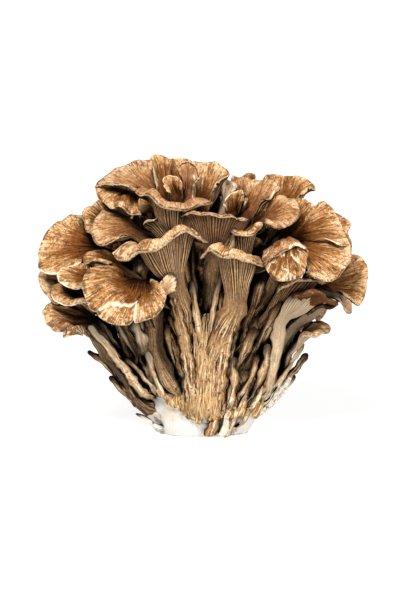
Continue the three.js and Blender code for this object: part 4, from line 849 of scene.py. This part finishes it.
stemRibs = [
    # ridges that carry the main stem's fibres up into the stalks of the front caps
    dict(root=(-5, 8, 27), tip=(-16, 74, 47), bow=(3, 0, 7), half=(4.6, 3)),
    dict(root=(-8, 14, 26), tip=(-21, 62, 39), bow=(3, 0, 5), half=(3.4, 2)),
    dict(root=(-1, 8, 28), tip=(-5, 56, 38), bow=(0, 0, 8), half=(3.4, 1.6)),
    dict(root=(4, 8, 28), tip=(6, 54, 38), bow=(0, 0, 8), half=(3.2, 1.6)),
    dict(root=(7, 8, 27), tip=(17, 70, 45), bow=(-2, 0, 6), half=(4.6, 3)),
    dict(root=(10, 12, 25), tip=(18, 56, 37), bow=(-1, 0, 5), half=(3.2, 2)),
]


def boardShoot(name, nodes, seed, s):
    # its points go from the board to the part's own frame
    placed = {key: onBoard(s[key]) for key in ("root", "tip", "bow")}
    addShape(name, nodes, "shoot_flesh", shootShape({**s, **placed, "seed": seed}), s)


for name, s in shoots.items():
    boardShoot("finger_" + name, ["shoot_" + name], sum(map(ord, "shoot_" + name)), s)
print("shoots shaped")
for i, s in enumerate(frontRibbons):
    boardShoot("front_ribbon_%02d" % (i + 1), [], 500 + i, {**ribbonLook, **s})
for i, s in enumerate(stemRibs):
    boardShoot("stem_rib_%d" % (i + 1), [], 600 + i, {**ribLook, **s})
print("front ribbons shaped")

# ---- young leaves deep inside, in rings that close the room between the caps ----

youngRings = (
    # each an oval on the board: height, half width, how far its front and its back lie out, how many
    # leaves, and how far round they go to each side of the front, in degrees
    dict(up=141, half=27, front=-8, back=-26, leaves=8, arc=180),
    dict(up=132, half=44, front=0, back=-32, leaves=12, arc=180),
    dict(up=121, half=57, front=10, back=-34, leaves=15, arc=180),
    dict(up=107, half=64, front=13, back=-32, leaves=10, arc=105),
    dict(up=93, half=66, front=14, back=-30, leaves=10, arc=105),
    dict(up=79, half=62, front=12, back=-28, leaves=9, arc=100),
    dict(up=66, half=54, front=8, back=-24, leaves=8, arc=95),
)
youngSize = np.array([11, 13])  # half width and height of a leaf


def seatFor(neck):
    # the nearest point of a sturdy stalk that lies well below a leaf's neck, and one lower on that stalk
    places = np.vstack(stalks)
    places = places[places[:, 2] < neck[2] - 5]
    nearest = places[np.argmin(np.linalg.norm(places[:, :3] - neck, axis=1))]
    return nearest[:3], nearest[3:]


def youngLeaf(ring, j, i):
    # a small upright fan that leans outwards, its place and size swaying from leaf to leaf
    even = math.radians(ring["arc"]) * ((2 * j + 1) / ring["leaves"] - 1)
    turn = even - 0.22 * math.sin(2 * even)
    right, ahead = math.sin(turn), math.cos(turn)
    halfWide, high = youngSize * (1 + 0.16 * math.sin(1.9 * i))
    middle, swing = (ring["front"] + ring["back"]) / 2, (ring["front"] - ring["back"]) / 2
    centre = np.array([
        ring["half"] * right + 2.5 * math.sin(2.4 * i),
        ring["up"] + 3.5 * math.sin(3.7 * i + 1),
        middle + swing * ahead + 2.5 * math.sin(5.1 * i + 2),
    ])

    def at(across, rise, push):
        across, rise, push = np.broadcast_arrays(across, rise, push)
        turned = [across * ahead + push * right, rise, push * ahead - across * right]
        return onBoard(centre + np.stack(turned, -1))

    turns = np.linspace(-1, 1, 5)
    neck = at(0, -high * 1.2, -4)
    root, seat = seatFor(neck)
    return frondShape(dict(
        root=root, seat=seat, neck=neck, top=unit(onBoard((0.85 * right, 0.5, 0.85 * ahead))),
        margin=at(halfWide * turns, -high * 0.5 * turns**2, 5 - 3 * turns**2), roll=(0.25, 2.5), belly=-1.5,
        stem=(3, 2.4, 4, 2), ruffle=(0.8, 3, i), seed=700 + i, spacing=1.9, rowStep=2.7,
        stemStep=5, fewest=14, fewestRows=(5, 11),
    ))


youngLooks = dict(tone=0.6, bright=0.35)
for row, ring in enumerate(youngRings):
    leaves = [youngLeaf(ring, j, 20 * row + j) for j in range(ring["leaves"])]
    addShape("inner_leaves_%d" % (row + 1), [], "frond_skin", joinShapes(leaves), youngLooks)
print("inner leaves shaped")

# ---- ribbons and spurs round the foot: shoots that never opened ----

footRibbons = dict(
    # the range of azimuths, the radius and height of the foot and the tip, and how far these wander
    behind=dict(
        turn=(38, 323, 9), ends=((19, 25), (47, 72)), half=(4.2, 2.6), spread=5, rowStep=6, columns=9,
    ),
    spurs=dict(turn=(62, 300, 11), ends=((27, 17), (43, 38)), half=(2.8, 1.5), spread=7, pale=0.5),
    knobs=dict(turn=(70, 292, 15), ends=((25, 24), (42, 54)), half=(3.2, 1.8), spread=8, pale=0.4),
)
footLook = dict(narrow=0.7, thin=0.35, curl=1.1, twist=0.6, jag=0.28, rowStep=3, columns=10)
footSquash = np.array([1.12, 0.9, 1])


def footRibbon(azimuth, r, seed):
    # a shoot that leans outwards at an azimuth, its ends jittered and then squashed like the butt
    rng = np.random.default_rng(seed)
    azimuth = azimuth + rng.uniform(-3, 3)
    jitter = rng.uniform(-1, 1, 4) * r["spread"]
    (rootOut, rootUp), (tipOut, tipUp) = r["ends"]
    root = roundAxis(azimuth, rootOut + 0.3 * jitter[0], rootUp + 0.3 * jitter[1])
    tip = roundAxis(azimuth + 1.5 * jitter[2], tipOut + jitter[3], tipUp + 1.3 * jitter[0])
    outward = roundAxis(azimuth, 1, 0)
    across = unit(np.array([-outward[1], outward[0], 0.0]))
    bow = outward * rng.uniform(1, 5) + across * jitter[1] * 0.6
    placed = dict(root=root * footSquash, tip=tip * footSquash, bow=bow, flat=across, seed=seed)
    return shootShape({**footLook, **r, **placed})


for kind, (name, r) in enumerate(footRibbons.items()):
    ribbons = [footRibbon(a, r, 900 + 100 * kind + i) for i, a in enumerate(np.arange(*r["turn"]))]
    addShape("foot_" + name, [], "shoot_flesh", joinShapes(ribbons), r)
print("foot ribbons shaped")

# ---- core: the white butt with the main stem on its front ----

core = dict(
    # height, half width, half depth, middle in x and y, in millimetres
    butt=((0, 28, 24, -1.5, -3), (5, 31, 26, -1, -2.5), (15, 37, 27, 0, -1), (21, 40, 27, 0, 0),
          (31, 37, 27, -1, 1), (46, 27, 23, -1, 2), (62, 17, 17, 0, 3), (80, 7, 8, 0, 4)),
    mainStem=((8, 8, 5, 1, -19), (14, 11.5, 9, 0.5, -21), (26, 12.5, 10, 0.5, -21), (40, 11.5, 9, 1, -22),
              (52, 8, 6.5, 1.5, -23), (62, 5, 4, 2, -23), (70, 2.5, 2, 2, -23)),
    columns=210,
    stemColumns=120,
    rowStep=0.9,
    fibreDepth=0.45,  # above the trimmed flesh
    facetDepth=0.12,  # of the strings on the trimmed flesh
    strokes=22,  # cuts of the knife round the butt
    bite=(0.6, 2.2),  # least and greatest depth of a cut
)


def ovalShape(levels, columns, rowStep, seed, roughen):
    # level ovals stacked by smooth interpolation, roughened along their outward directions, flat below
    table = np.array(levels, float)
    height = np.arange(table[0, 0], table[-1, 0], rowStep)
    height = np.r_[height, table[-1, 0]]
    wide, deep, midX, midY = (curveOver(table[:, 0], table[:, k], height) for k in range(1, 5))
    crown = np.sqrt(np.clip(1 - np.clip((height - table[-1, 0] + 5) / 5, 0, 1) ** 2 * 0.96, 0, 1))
    turn = np.linspace(0, 2 * math.pi, columns, endpoint=False)
    out = np.stack([np.cos(turn), np.sin(turn)], -1)
    power = mix(3.2, 2, np.clip(height / 40, 0, 1))[:, None]  # squarer near the ground
    corner = (np.abs(out[:, 0]) ** power + np.abs(out[:, 1]) ** power) ** (-1 / power) * crown[:, None]
    grid = np.empty((len(height), columns, 3))
    grid[..., 0] = midX[:, None] + wide[:, None] * corner * out[:, 0]
    grid[..., 1] = midY[:, None] + deep[:, None] * corner * out[:, 1]
    grid[..., 2] = height[:, None]
    run = turn[None] * 30 + np.zeros(grid.shape[:2])
    lift, marks = roughen(grid, run, seed)
    grid[..., :2] += out[None] * lift[..., None]
    index = np.arange(grid.shape[0] * columns).reshape(grid.shape[:2])
    side = np.roll(index, -1, axis=1)
    quads = np.stack([index[:-1], side[:-1], side[1:], index[1:]], -1).reshape(-1, 4)
    verts = np.vstack([grid.reshape(-1, 3), grid[0].mean(0), grid[-1].mean(0)])
    low, high = len(verts) - 2, len(verts) - 1
    tris = np.vstack([
        np.stack([side[0], index[0], np.full(columns, low)], -1),
        np.stack([index[-1], side[-1], np.full(columns, high)], -1),
    ])
    attributes = {key: np.r_[value.reshape(-1), value[0, 0], value[-1, 0]] for key, value in marks.items()}
    return verts, quads, tris, attributes


def curveOver(x, y, at):
    # a smooth curve through the table: cubic pieces whose slopes are the neighbours' slopes
    slope = np.gradient(y, x)
    i = np.clip(np.searchsorted(x, at, side="right") - 1, 0, len(x) - 2)
    step = x[i + 1] - x[i]
    t = (at - x[i]) / step
    return hermite(y[i], slope[i] * step, y[i + 1], slope[i + 1] * step, t)


def knifeCuts(grid, seed):
    # how far each point is shaved off by flat strokes of a knife, taken all round in two tiers
    rng = np.random.default_rng(seed)
    outward = unit(grid * [1, 1, 0])
    cut = np.zeros(grid.shape[:2])
    for k in range(core["strokes"]):
        turn = 2 * math.pi * (k + rng.uniform(-0.3, 0.3)) / core["strokes"] * 2
        tilt = math.radians(rng.uniform(-34, -8))
        way = np.array([math.cos(turn) * math.cos(tilt), math.sin(turn) * math.cos(tilt), math.sin(tilt)])
        height = rng.uniform(2, 9) if k % 2 else rng.uniform(12, 24)
        facing = outward @ [math.cos(turn), math.sin(turn), 0] - np.abs(grid[..., 2] - height) * 0.02
        middle = grid.reshape(-1, 3)[np.argmax(facing)]
        beyond = (grid - middle) @ way + rng.uniform(*core["bite"])
        cut = np.maximum(cut, np.clip(beyond, 0, 4) / np.clip(outward @ way, 0.3, 1) * (facing > 0.3))
    return cut


def buttRoughen(grid, run, seed):
    # strings less the knife's cuts up to a ragged line, and fibres and ribs above it
    z = grid[..., 2]
    leftward = smooth(0, -34, grid[..., 0])
    ragged = 11 + 15 * leftward + 3 * ripple(grid[..., :2], 13, seed + 1) + 2.2 * ripple(grid, 4, seed + 2)
    fleshy = 1 - smooth(-1.5, 1.5, z - ragged)
    strings = ripple(np.stack([run, z * 0.15], -1), 3, seed + 3) * core["facetDepth"]
    fibre = ripple(np.stack([run, z * 0.1], -1), 2.2, seed + 4) * core["fibreDepth"]
    ribs = ripple(np.stack([run, z * 0.12], -1), 9, seed + 5) * 1.1
    lift = mix((fibre + ribs) * smooth(0, 3, z), strings - knifeCuts(grid, seed + 6), fleshy)
    return lift, dict(ray=run, run=z, white=fleshy)


def stemRoughen(grid, run, seed):
    # upright fibres, cords and lumps, white near the ground
    z = grid[..., 2]
    fibre = ripple(np.stack([run * 0.8, z * 0.07], -1), 1.9, seed) * core["fibreDepth"]
    cords = ripple(np.stack([run * 0.8, z * 0.09], -1), 6, seed + 1) * 0.7
    lumps = ripple(grid, 6, seed + 2) * 0.35
    fleshy = 1 - smooth(-1.2, 1.2, z - (10 + 1.6 * ripple(grid, 5, seed + 3)))
    return fibre + cords + lumps, dict(ray=run, run=z, white=fleshy * 0.8)


addShape("core_flesh_body", ["core"], "core_flesh", joinShapes([
    ovalShape(core["butt"], core["columns"], core["rowStep"], 11, buttRoughen),
    ovalShape(core["mainStem"], core["stemColumns"], core["rowStep"], 23, stemRoughen),
]))
print("core shaped")

# ---- openness: how much sky each point sees past the flesh around it ----

openness = dict(
    cell=2.5,
    most=3,  # areas of one cell's face that a cell holds at most
    margin=12,
    lift=2.2,  # how far above its vertex a look-out starts
    directions=26,
    steps=12,
    stepLength=3.2,
    thickness=0.2,
)


def faceVectors(corners):
    # along each face's normal, and twice as long as its area
    return np.cross(corners[:, 2] - corners[:, 0], corners[:, 3] - corners[:, 1])


def vertexNormals(shape):
    # the sum of the face vectors round each vertex, over its length
    face = faceVectors(shape["verts"][shape["quads"]])
    total = np.zeros(shape["verts"].shape)
    for k in range(4):
        np.add.at(total, shape["quads"][:, k], face)
    return unit(total)


def measureOpenness(o):
    # face areas are gathered in cells; from each vertex the cells are summed along directions spread evenly
    # over a sphere, and the light from a direction dies away with the area it passes
    low = np.min([shape["verts"].min(0) for shape in shapes], axis=0) - o["margin"]
    high = np.max([shape["verts"].max(0) for shape in shapes], axis=0) + o["margin"]
    count = np.ceil((high - low) / o["cell"]).astype(int)
    cells = np.zeros(count)
    for shape in shapes:
        corners = shape["verts"][shape["quads"]]
        area = np.linalg.norm(faceVectors(corners), axis=-1) / 2
        where = ((corners.mean(1) - low) / o["cell"]).astype(int)
        np.add.at(cells, tuple(np.clip(where, 0, count - 1).T), area)
    cells = np.minimum(cells / o["cell"] ** 2, o["most"]).astype(np.float32)
    turn = np.arange(o["directions"]) + 0.5
    height = 1 - 2 * turn / o["directions"]
    level = np.sqrt(1 - height**2)
    swing = turn * math.pi * (1 + math.sqrt(5))
    ways = np.stack([level * np.cos(swing), level * np.sin(swing), height], -1)
    strength = 0.5 + 0.5 * height  # more light comes from above
    lineUp = np.array([count[1] * count[2], count[2], 1])
    flatCells = cells.ravel()
    for shape in shapes:
        normals = vertexNormals(shape)
        start = (shape["verts"] + normals * o["lift"] - low) / o["cell"]
        seen, total = np.zeros(len(start)), np.zeros(len(start))
        for way, power in zip(ways, strength):
            facing = np.clip(normals @ way, 0, None) * power
            passed = np.zeros(len(start), np.float32)
            for step in range(o["steps"]):
                at = start + way * ((step + 0.5) * o["stepLength"] / o["cell"])
                passed += flatCells[np.clip(at, 0, count - 1).astype(int) @ lineUp]
            seen += facing * np.exp(-passed * o["thickness"] * o["stepLength"])
            total += facing
        shape["attributes"]["open"] = seen / np.maximum(total, 1e-6)


measureOpenness(openness)
print("openness measured", [round(float(q), 2) for q in np.quantile(
    np.concatenate([shape["attributes"]["open"] for shape in shapes]), (0.05, 0.25, 0.5, 0.75, 0.95))])

# ---- materials ----

sheen = 0.07  # specular level of all flesh, which is dry and dull


class Value:
    # a shader value, which adds, subtracts and multiplies like a number
    def __init__(self, graph, socket):
        self.graph, self.socket = graph, socket

    def __add__(self, other):
        return self.graph.math("ADD", self, other)

    def __sub__(self, other):
        return self.graph.math("SUBTRACT", self, other)

    def __mul__(self, other):
        return self.graph.math("MULTIPLY", self, other)

    def ramp(self, low, high, start=0.0, end=1.0):
        return self.graph.node("ShaderNodeMapRange", "Result", dict(interpolation_type="SMOOTHSTEP"),
                               self, low, high, start, end)

    def centred(self, gain):
        return (self - 0.5) * gain


class Graph:
    # a material's nodes: inputs are wired or set in order or by name, and a colour may go by its name
    def __init__(self, name, colors):
        self.colors = colors
        self.material = bpy.data.materials.new(name)
        self.material.use_nodes = True
        self.tree = self.material.node_tree
        self.point = self.node("ShaderNodeTexCoord", "Object", {})

    def put(self, socket, value):
        value = self.colors[value] if isinstance(value, str) else value
        if isinstance(value, Value):
            self.tree.links.new(value.socket, socket)
        else:
            socket.default_value = value

    def node(self, kind, output, settings, *ordered, **named):
        made = self.tree.nodes.new(kind)
        for key, value in settings.items():
            setattr(made, key, value)
        for key, value in [*enumerate(ordered), *named.items()]:
            self.put(made.inputs[key], value)
        return Value(self, made.outputs[output])

    def attributes(self, names):
        return [self.node("ShaderNodeAttribute", "Fac", dict(attribute_name=key)) for key in names.split()]

    def math(self, operation, *values):
        return self.node("ShaderNodeMath", "Value", dict(operation=operation), *values)

    def blend(self, share, a, b, mode="MIX"):
        settings = dict(data_type="RGBA", blend_type=mode)
        return self.node("ShaderNodeMix", "Result", settings, Factor=share, A=a, B=b)

    def coats(self, color, *coats):
        # each coat is a share and a colour, laid over the coats before it
        for share, coat in coats:
            color = self.blend(share, color, coat)
        return color

    def place(self, values):
        return self.node("ShaderNodeCombineXYZ", "Vector", {}, *values) if values else self.point

    def noise(self, scale, detail, roughness, *values):
        # set out in the space of the values given, or in the part's own space
        return self.node("ShaderNodeTexNoise", "Fac", {},
                         Vector=self.place(values), Scale=scale, Detail=detail, Roughness=roughness)

    def cracks(self, scale, *values):
        return self.node("ShaderNodeTexVoronoi", "Distance", dict(feature="DISTANCE_TO_EDGE"),
                         Vector=self.place(values), Scale=scale)

    def shaded(self, color, sky):
        # flesh that sees little sky sinks into shade
        return self.blend(1.0, color, self.blend(sky, "shade", (1, 1, 1, 1)), "MULTIPLY")

    def finish(self, color, roughness, relief, strength, distance):
        bump = dict(Height=relief, Strength=strength, Distance=distance)
        normal = self.node("ShaderNodeBump", "Normal", {}, **bump)
        inputs = {"Base Color": color, "Roughness": roughness, "Normal": normal, "Specular IOR Level": sheen}
        for key, value in inputs.items():
            self.put(self.tree.nodes["Principled BSDF"].inputs[key], value)
        return self.material


def linearColors(**colors):
    return {name: linear(*color) for name, color in colors.items()}


skinColors = dict(
    linearColors(
        hollow=(40, 20, 7), brown=(128, 78, 33), gold=(184, 133, 78), tan=(226, 186, 142),
        fleck=(240, 212, 174), speck=(82, 47, 24), rimLine=(84, 50, 25), rose=(152, 108, 80),
        rimEdge=(238, 208, 166), under=(172, 127, 80), underRim=(76, 47, 24), groove=(34, 18, 8),
        stemPale=(236, 210, 170), stemTan=(170, 132, 92), stemDark=(96, 63, 36),
        edge=(38, 20, 8), flesh=(252, 232, 198), white=(240, 232, 214), pit=(36, 19, 7),
    ),
    shade=(0.0016, 0.0009, 0.0005, 1), dull=(0.74, 0.69, 0.64, 1), lit=(1.16, 1.15, 1.14, 1),
)


def frondSkin(colors):
    # streaked brown skin on top, gilled cream below and a blotched stem, as each vertex's attributes say
    g = Graph("frondSkin", colors)
    ray, run, along, face, gill, lines, torn, dusk = g.attributes("ray run along face gill lines torn dusk")
    stem, side, tip, sky = g.attributes("stem side tip open")
    tone, pale, crack, bright, bare, lap, dim = g.attributes("tone pale crack bright bare lap dim")
    broadStreak, streak, fineStreak = (
        g.noise(1.0, detail, 0.62, ray * acrossRate, run * alongRate, tone * 9)
        for acrossRate, alongRate, detail in ((0.25, 0.04, 3), (0.8, 0.08, 4), (1.5, 0.14, 4))
    )
    blotch, mottle, patch = g.noise(75, 4, 0.6), g.noise(110, 5, 0.65), g.noise(420, 3, 0.6)
    grit, grain = g.noise(620, 4, 0.7), g.noise(900, 2, 0.6)

    level = along + broadStreak.centred(0.9) + streak.centred(0.7) + mottle.centred(0.8)
    level = level + bright.centred(0.8)
    blot = patch * 0.5 + mottle * 0.5
    band = along + mottle.centred(0.06)
    split = g.cracks(0.14, ray + mottle.centred(9), run + patch.centred(4)) + patch.centred(0.2)
    opened = crack * split.ramp(0.06, 0.01, 0, 0.8)
    # the skin runs from a near-black colour by the neck, partly its own dark brown and partly painted shade
    # in the cap's hollow, through brown and gold to tan
    skin = g.coats(
        "hollow",
        (level.ramp(-0.02, 0.3), "brown"),
        (level.ramp(0.42, 0.74), "gold"),
        (level.ramp(0.76, 1.0), "tan"),
        (fineStreak.ramp(0.475, 0.35, 0, 0.8), "speck"),
        (fineStreak.ramp(0.525, 0.64, 0, 0.85) * level.ramp(0.3, 0.7), "fleck"),
        (blot.ramp(0.49, 0.42, 0, 0.65) * along.ramp(0.55, 0.85), "speck"),
        (blot.ramp(0.54, 0.62, 0, 0.5) * along.ramp(0.5, 0.85), "fleck"),
        (grain.ramp(0.57, 0.66, 0, 0.75) * mottle.ramp(0.4, 0.55), "speck"),
        (tone.ramp(0.5, 1.0, 0, 0.4), "rose"),
        (band.ramp(0.945, 0.98) * broadStreak.ramp(0.62, 0.46, 0, 0.85), "rimLine"),
        (opened * broadStreak.ramp(0.44, 0.54) * along.ramp(0.42, 0.5), "flesh"),
    )

    wave, between = (g.math("COSINE", gill * rate) * 0.5 + 0.5 for rate in (1, 2))
    ridge = g.math("MAXIMUM", wave, between * along.ramp(0.3, 0.6, 0, 0.5))
    grooves = (ridge + streak.centred(1.1)).ramp(0.66, 0.2) * lines
    below = g.coats(
        "under",
        ((along + mottle.centred(0.9)).ramp(0.3, 0.9), "underRim"),
        (streak.ramp(0.5, 0.66, 0, 0.45), "fleck"),
        (lines * ridge.ramp(0.75, 1.0, 0, 0.4), "fleck"),
        # the grooves between the gill ridges are painted near black: painted shade in the recesses, which
        # the bump relief also sinks
        (grooves * 0.92, "groove"),
        # a thin dark band just inside the rim below: the lip's own dark brown edge with painted shade under
        # it
        (band.ramp(0.925, 0.95) * band.ramp(0.985, 0.97, 0, 0.8), "groove"),
        # painted shade over the underside, strongest towards the neck, in the dark speck colour
        (dim * along.ramp(1.0, 0.5, 0.4, 1), "speck"),
    )

    fibre = g.noise(1.0, 5, 0.66, ray * 0.5, run * 0.07, tone)
    vein = g.noise(1.0, 3, 0.6, ray * 0.9, run * 0.12, tone)
    across, ahead, height = (g.node("ShaderNodeSeparateXYZ", axis, {}, g.point) for axis in "XYZ")
    outward = g.math("SQRT", across * across + ahead * ahead)
    flare = outward * 0.47 + g.math("MAXIMUM", across, -0.01) * 0.16  # the height of the white of the butt
    trimmed = bare * (flare - height + blotch.centred(0.05)).ramp(-0.001, 0.003)
    low = height.ramp(0.062, 0.045)
    flank = g.coats(
        "stemDark",
        ((fibre + blotch.centred(0.7)).ramp(0.38, 0.5), "stemTan"),
        ((fibre + blotch.centred(-0.45)).ramp(0.52, 0.64, 0, 0.9), "stemPale"),
        (low * vein.ramp(0.56, 0.6, 0, 0.8), "stemPale"),
        (low * vein.ramp(0.42, 0.37, 0, 0.7), "edge"),
        (trimmed, "white"),
        (patch.ramp(0.6, 0.68, 0, 0.75), "pit"),
        (tip, "edge"),
    )

    sideEdge = (side + fibre.centred(1.2)).ramp(0.62, 0.9, 0, 0.9) * trimmed.ramp(0, 1, 1, 0.3)
    soiled = height.ramp(0.052, 0.036) * (patch + blotch.centred(0.8)).ramp(0.47, 0.53)
    lapped = lap * (along + lap * 0.25 + mottle.centred(0.8)).ramp(0.91, 0.95)
    color = g.coats(
        below,
        (face.ramp(-0.25, 0.25), skin),
        ((along + streak.centred(0.05)).ramp(0.993, 1.002, 0, 0.7), "rimEdge"),
        (stem, flank),
        (pale * face.ramp(0.5, -0.2, 0.35, 1), "flesh"),
        (stem * sideEdge, "edge"),
        (stem * pale * soiled, "stemTan"),
        (lapped * g.math("SUBTRACT", 1, stem), g.blend(0.7, skin, "speck")),
    )
    speckled = g.blend(grit.ramp(0.34, 0.64), "dull", "lit")
    color = g.blend(pale.ramp(0, 0.4, 1, 0.15), color, speckled, "MULTIPLY")
    # torn lines show pale flesh; the shadow lines are painted shadow, with a few dark rim outlines, in the
    # near-black colour of the neck
    color = g.coats(color, (torn, "flesh"), (dusk * 0.88, "hollow"))
    color = g.shaded(color, (sky - stem * 0.1).ramp(0.07, 0.6))
    relief = (fineStreak * 0.6 + patch * 0.5 - grooves * 0.5 + grain * 0.15) * pale.ramp(0, 0.6, 1, 0.35)
    return g.finish(color, mottle.ramp(0.3, 0.7, 0.55, 0.8), relief, 0.8, 0.0009)


fleshColors = dict(
    linearColors(
        white=(226, 223, 216), cream=(222, 205, 174), tan=(186, 146, 98), brown=(104, 68, 36),
        gold=(204, 152, 78), pale=(240, 212, 166), pit=(62, 36, 16), line=(172, 168, 158),
    ),
    shade=(0.006, 0.0026, 0.001, 1),
)


def coreFlesh(colors):
    # dry white flesh where it was trimmed, and tan, gold and cream fibres above
    g = Graph("coreFlesh", colors)
    ray, run, white, sky = g.attributes("ray run white open")
    fibre = g.noise(1.0, 5, 0.68, ray * 0.55, run * 0.06)
    thread = g.noise(1.0, 4, 0.6, ray * 1.6, run * 0.14)
    vein = g.noise(1.0, 3, 0.6, ray * 0.9, run * 0.12, 3.0)
    broad, grain = g.noise(70, 4, 0.62), g.noise(500, 3, 0.6)
    bark = g.coats(
        "brown",
        (fibre.ramp(0.4, 0.54), "tan"),
        ((thread + broad.centred(0.5)).ramp(0.5, 0.62), "pale"),
        (broad.ramp(0.5, 0.6, 0, 0.7) * thread.ramp(0.4, 0.6), "gold"),
        (thread.ramp(0.47, 0.37, 0, 0.85), "brown"),
        (vein.ramp(0.56, 0.6, 0, 0.85), "pale"),
        (vein.ramp(0.42, 0.38, 0, 0.7), "pit"),
        (grain.ramp(0.62, 0.7, 0, 0.85), "pit"),
    )
    flesh = g.coats(
        "white",
        (broad.ramp(0.52, 0.7, 0, 0.6), "cream"),
        ((g.cracks(60) + broad * 0.15).ramp(0.1, 0.06, 0, 0.25), "line"),
        (thread.ramp(0.56, 0.68, 0, 0.45), "line"),
        (grain.ramp(0.66, 0.72, 0, 0.5), "tan"),
        ((broad * 5 - run * 0.8).ramp(2.0, 2.6, 0, 0.6), "tan"),
    )
    edge = white + broad.centred(0.9)
    seam = edge.ramp(0.25, 0.4) * edge.ramp(0.62, 0.5)
    color = g.coats(bark, (edge.ramp(0.35, 0.55), flesh), (seam, "gold"))
    color = g.shaded(color, sky.ramp(0.02, 0.6))
    return g.finish(color, broad.ramp(0.3, 0.7, 0.6, 0.85), thread * 0.7 + grain * 0.4, 0.6, 0.0008)


skin = frondSkin(skinColors)
materials = dict(frond_skin=skin, shoot_flesh=skin, core_flesh=coreFlesh(fleshColors))
print("materials made")

# ---- meshes ----


def makeMesh(shape):
    # millimetres to metres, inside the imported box, with each attribute as one value a vertex
    quads, tris, verts = shape["quads"], shape["tris"], np.clip(shape["verts"] * mm, *cadBox)
    mesh = bpy.data.meshes.new(shape["name"])
    mesh.vertices.add(len(verts))
    mesh.vertices.foreach_set("co", verts.astype(np.float32).ravel())
    mesh.loops.add(quads.size + tris.size)
    mesh.loops.foreach_set("vertex_index", np.r_[quads.ravel(), tris.ravel()].astype(np.int32))
    mesh.polygons.add(len(quads) + len(tris))
    starts = np.r_[np.arange(len(quads)) * 4, quads.size + np.arange(len(tris)) * 3]
    mesh.polygons.foreach_set("loop_start", starts.astype(np.int32))
    mesh.polygons.foreach_set("use_smooth", np.ones(len(starts), bool))
    for key, values in shape["attributes"].items():
        layer = mesh.attributes.new(key, "FLOAT", "POINT")
        layer.data.foreach_set("value", values.astype(np.float32))
    mesh.update(calc_edges=True)
    mesh.validate()
    mesh.materials.append(materials[shape["slot"]])
    piece = bpy.data.objects.new(shape["name"], mesh)
    bpy.context.collection.objects.link(piece)
    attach(piece, "root")
    if shape["nodes"]:
        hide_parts(*shape["nodes"])
    return len(quads) * 2 + len(tris)


faceTotal = sum(makeMesh(shape) for shape in shapes)
print("pieces made:", len(shapes), "triangles:", faceTotal)
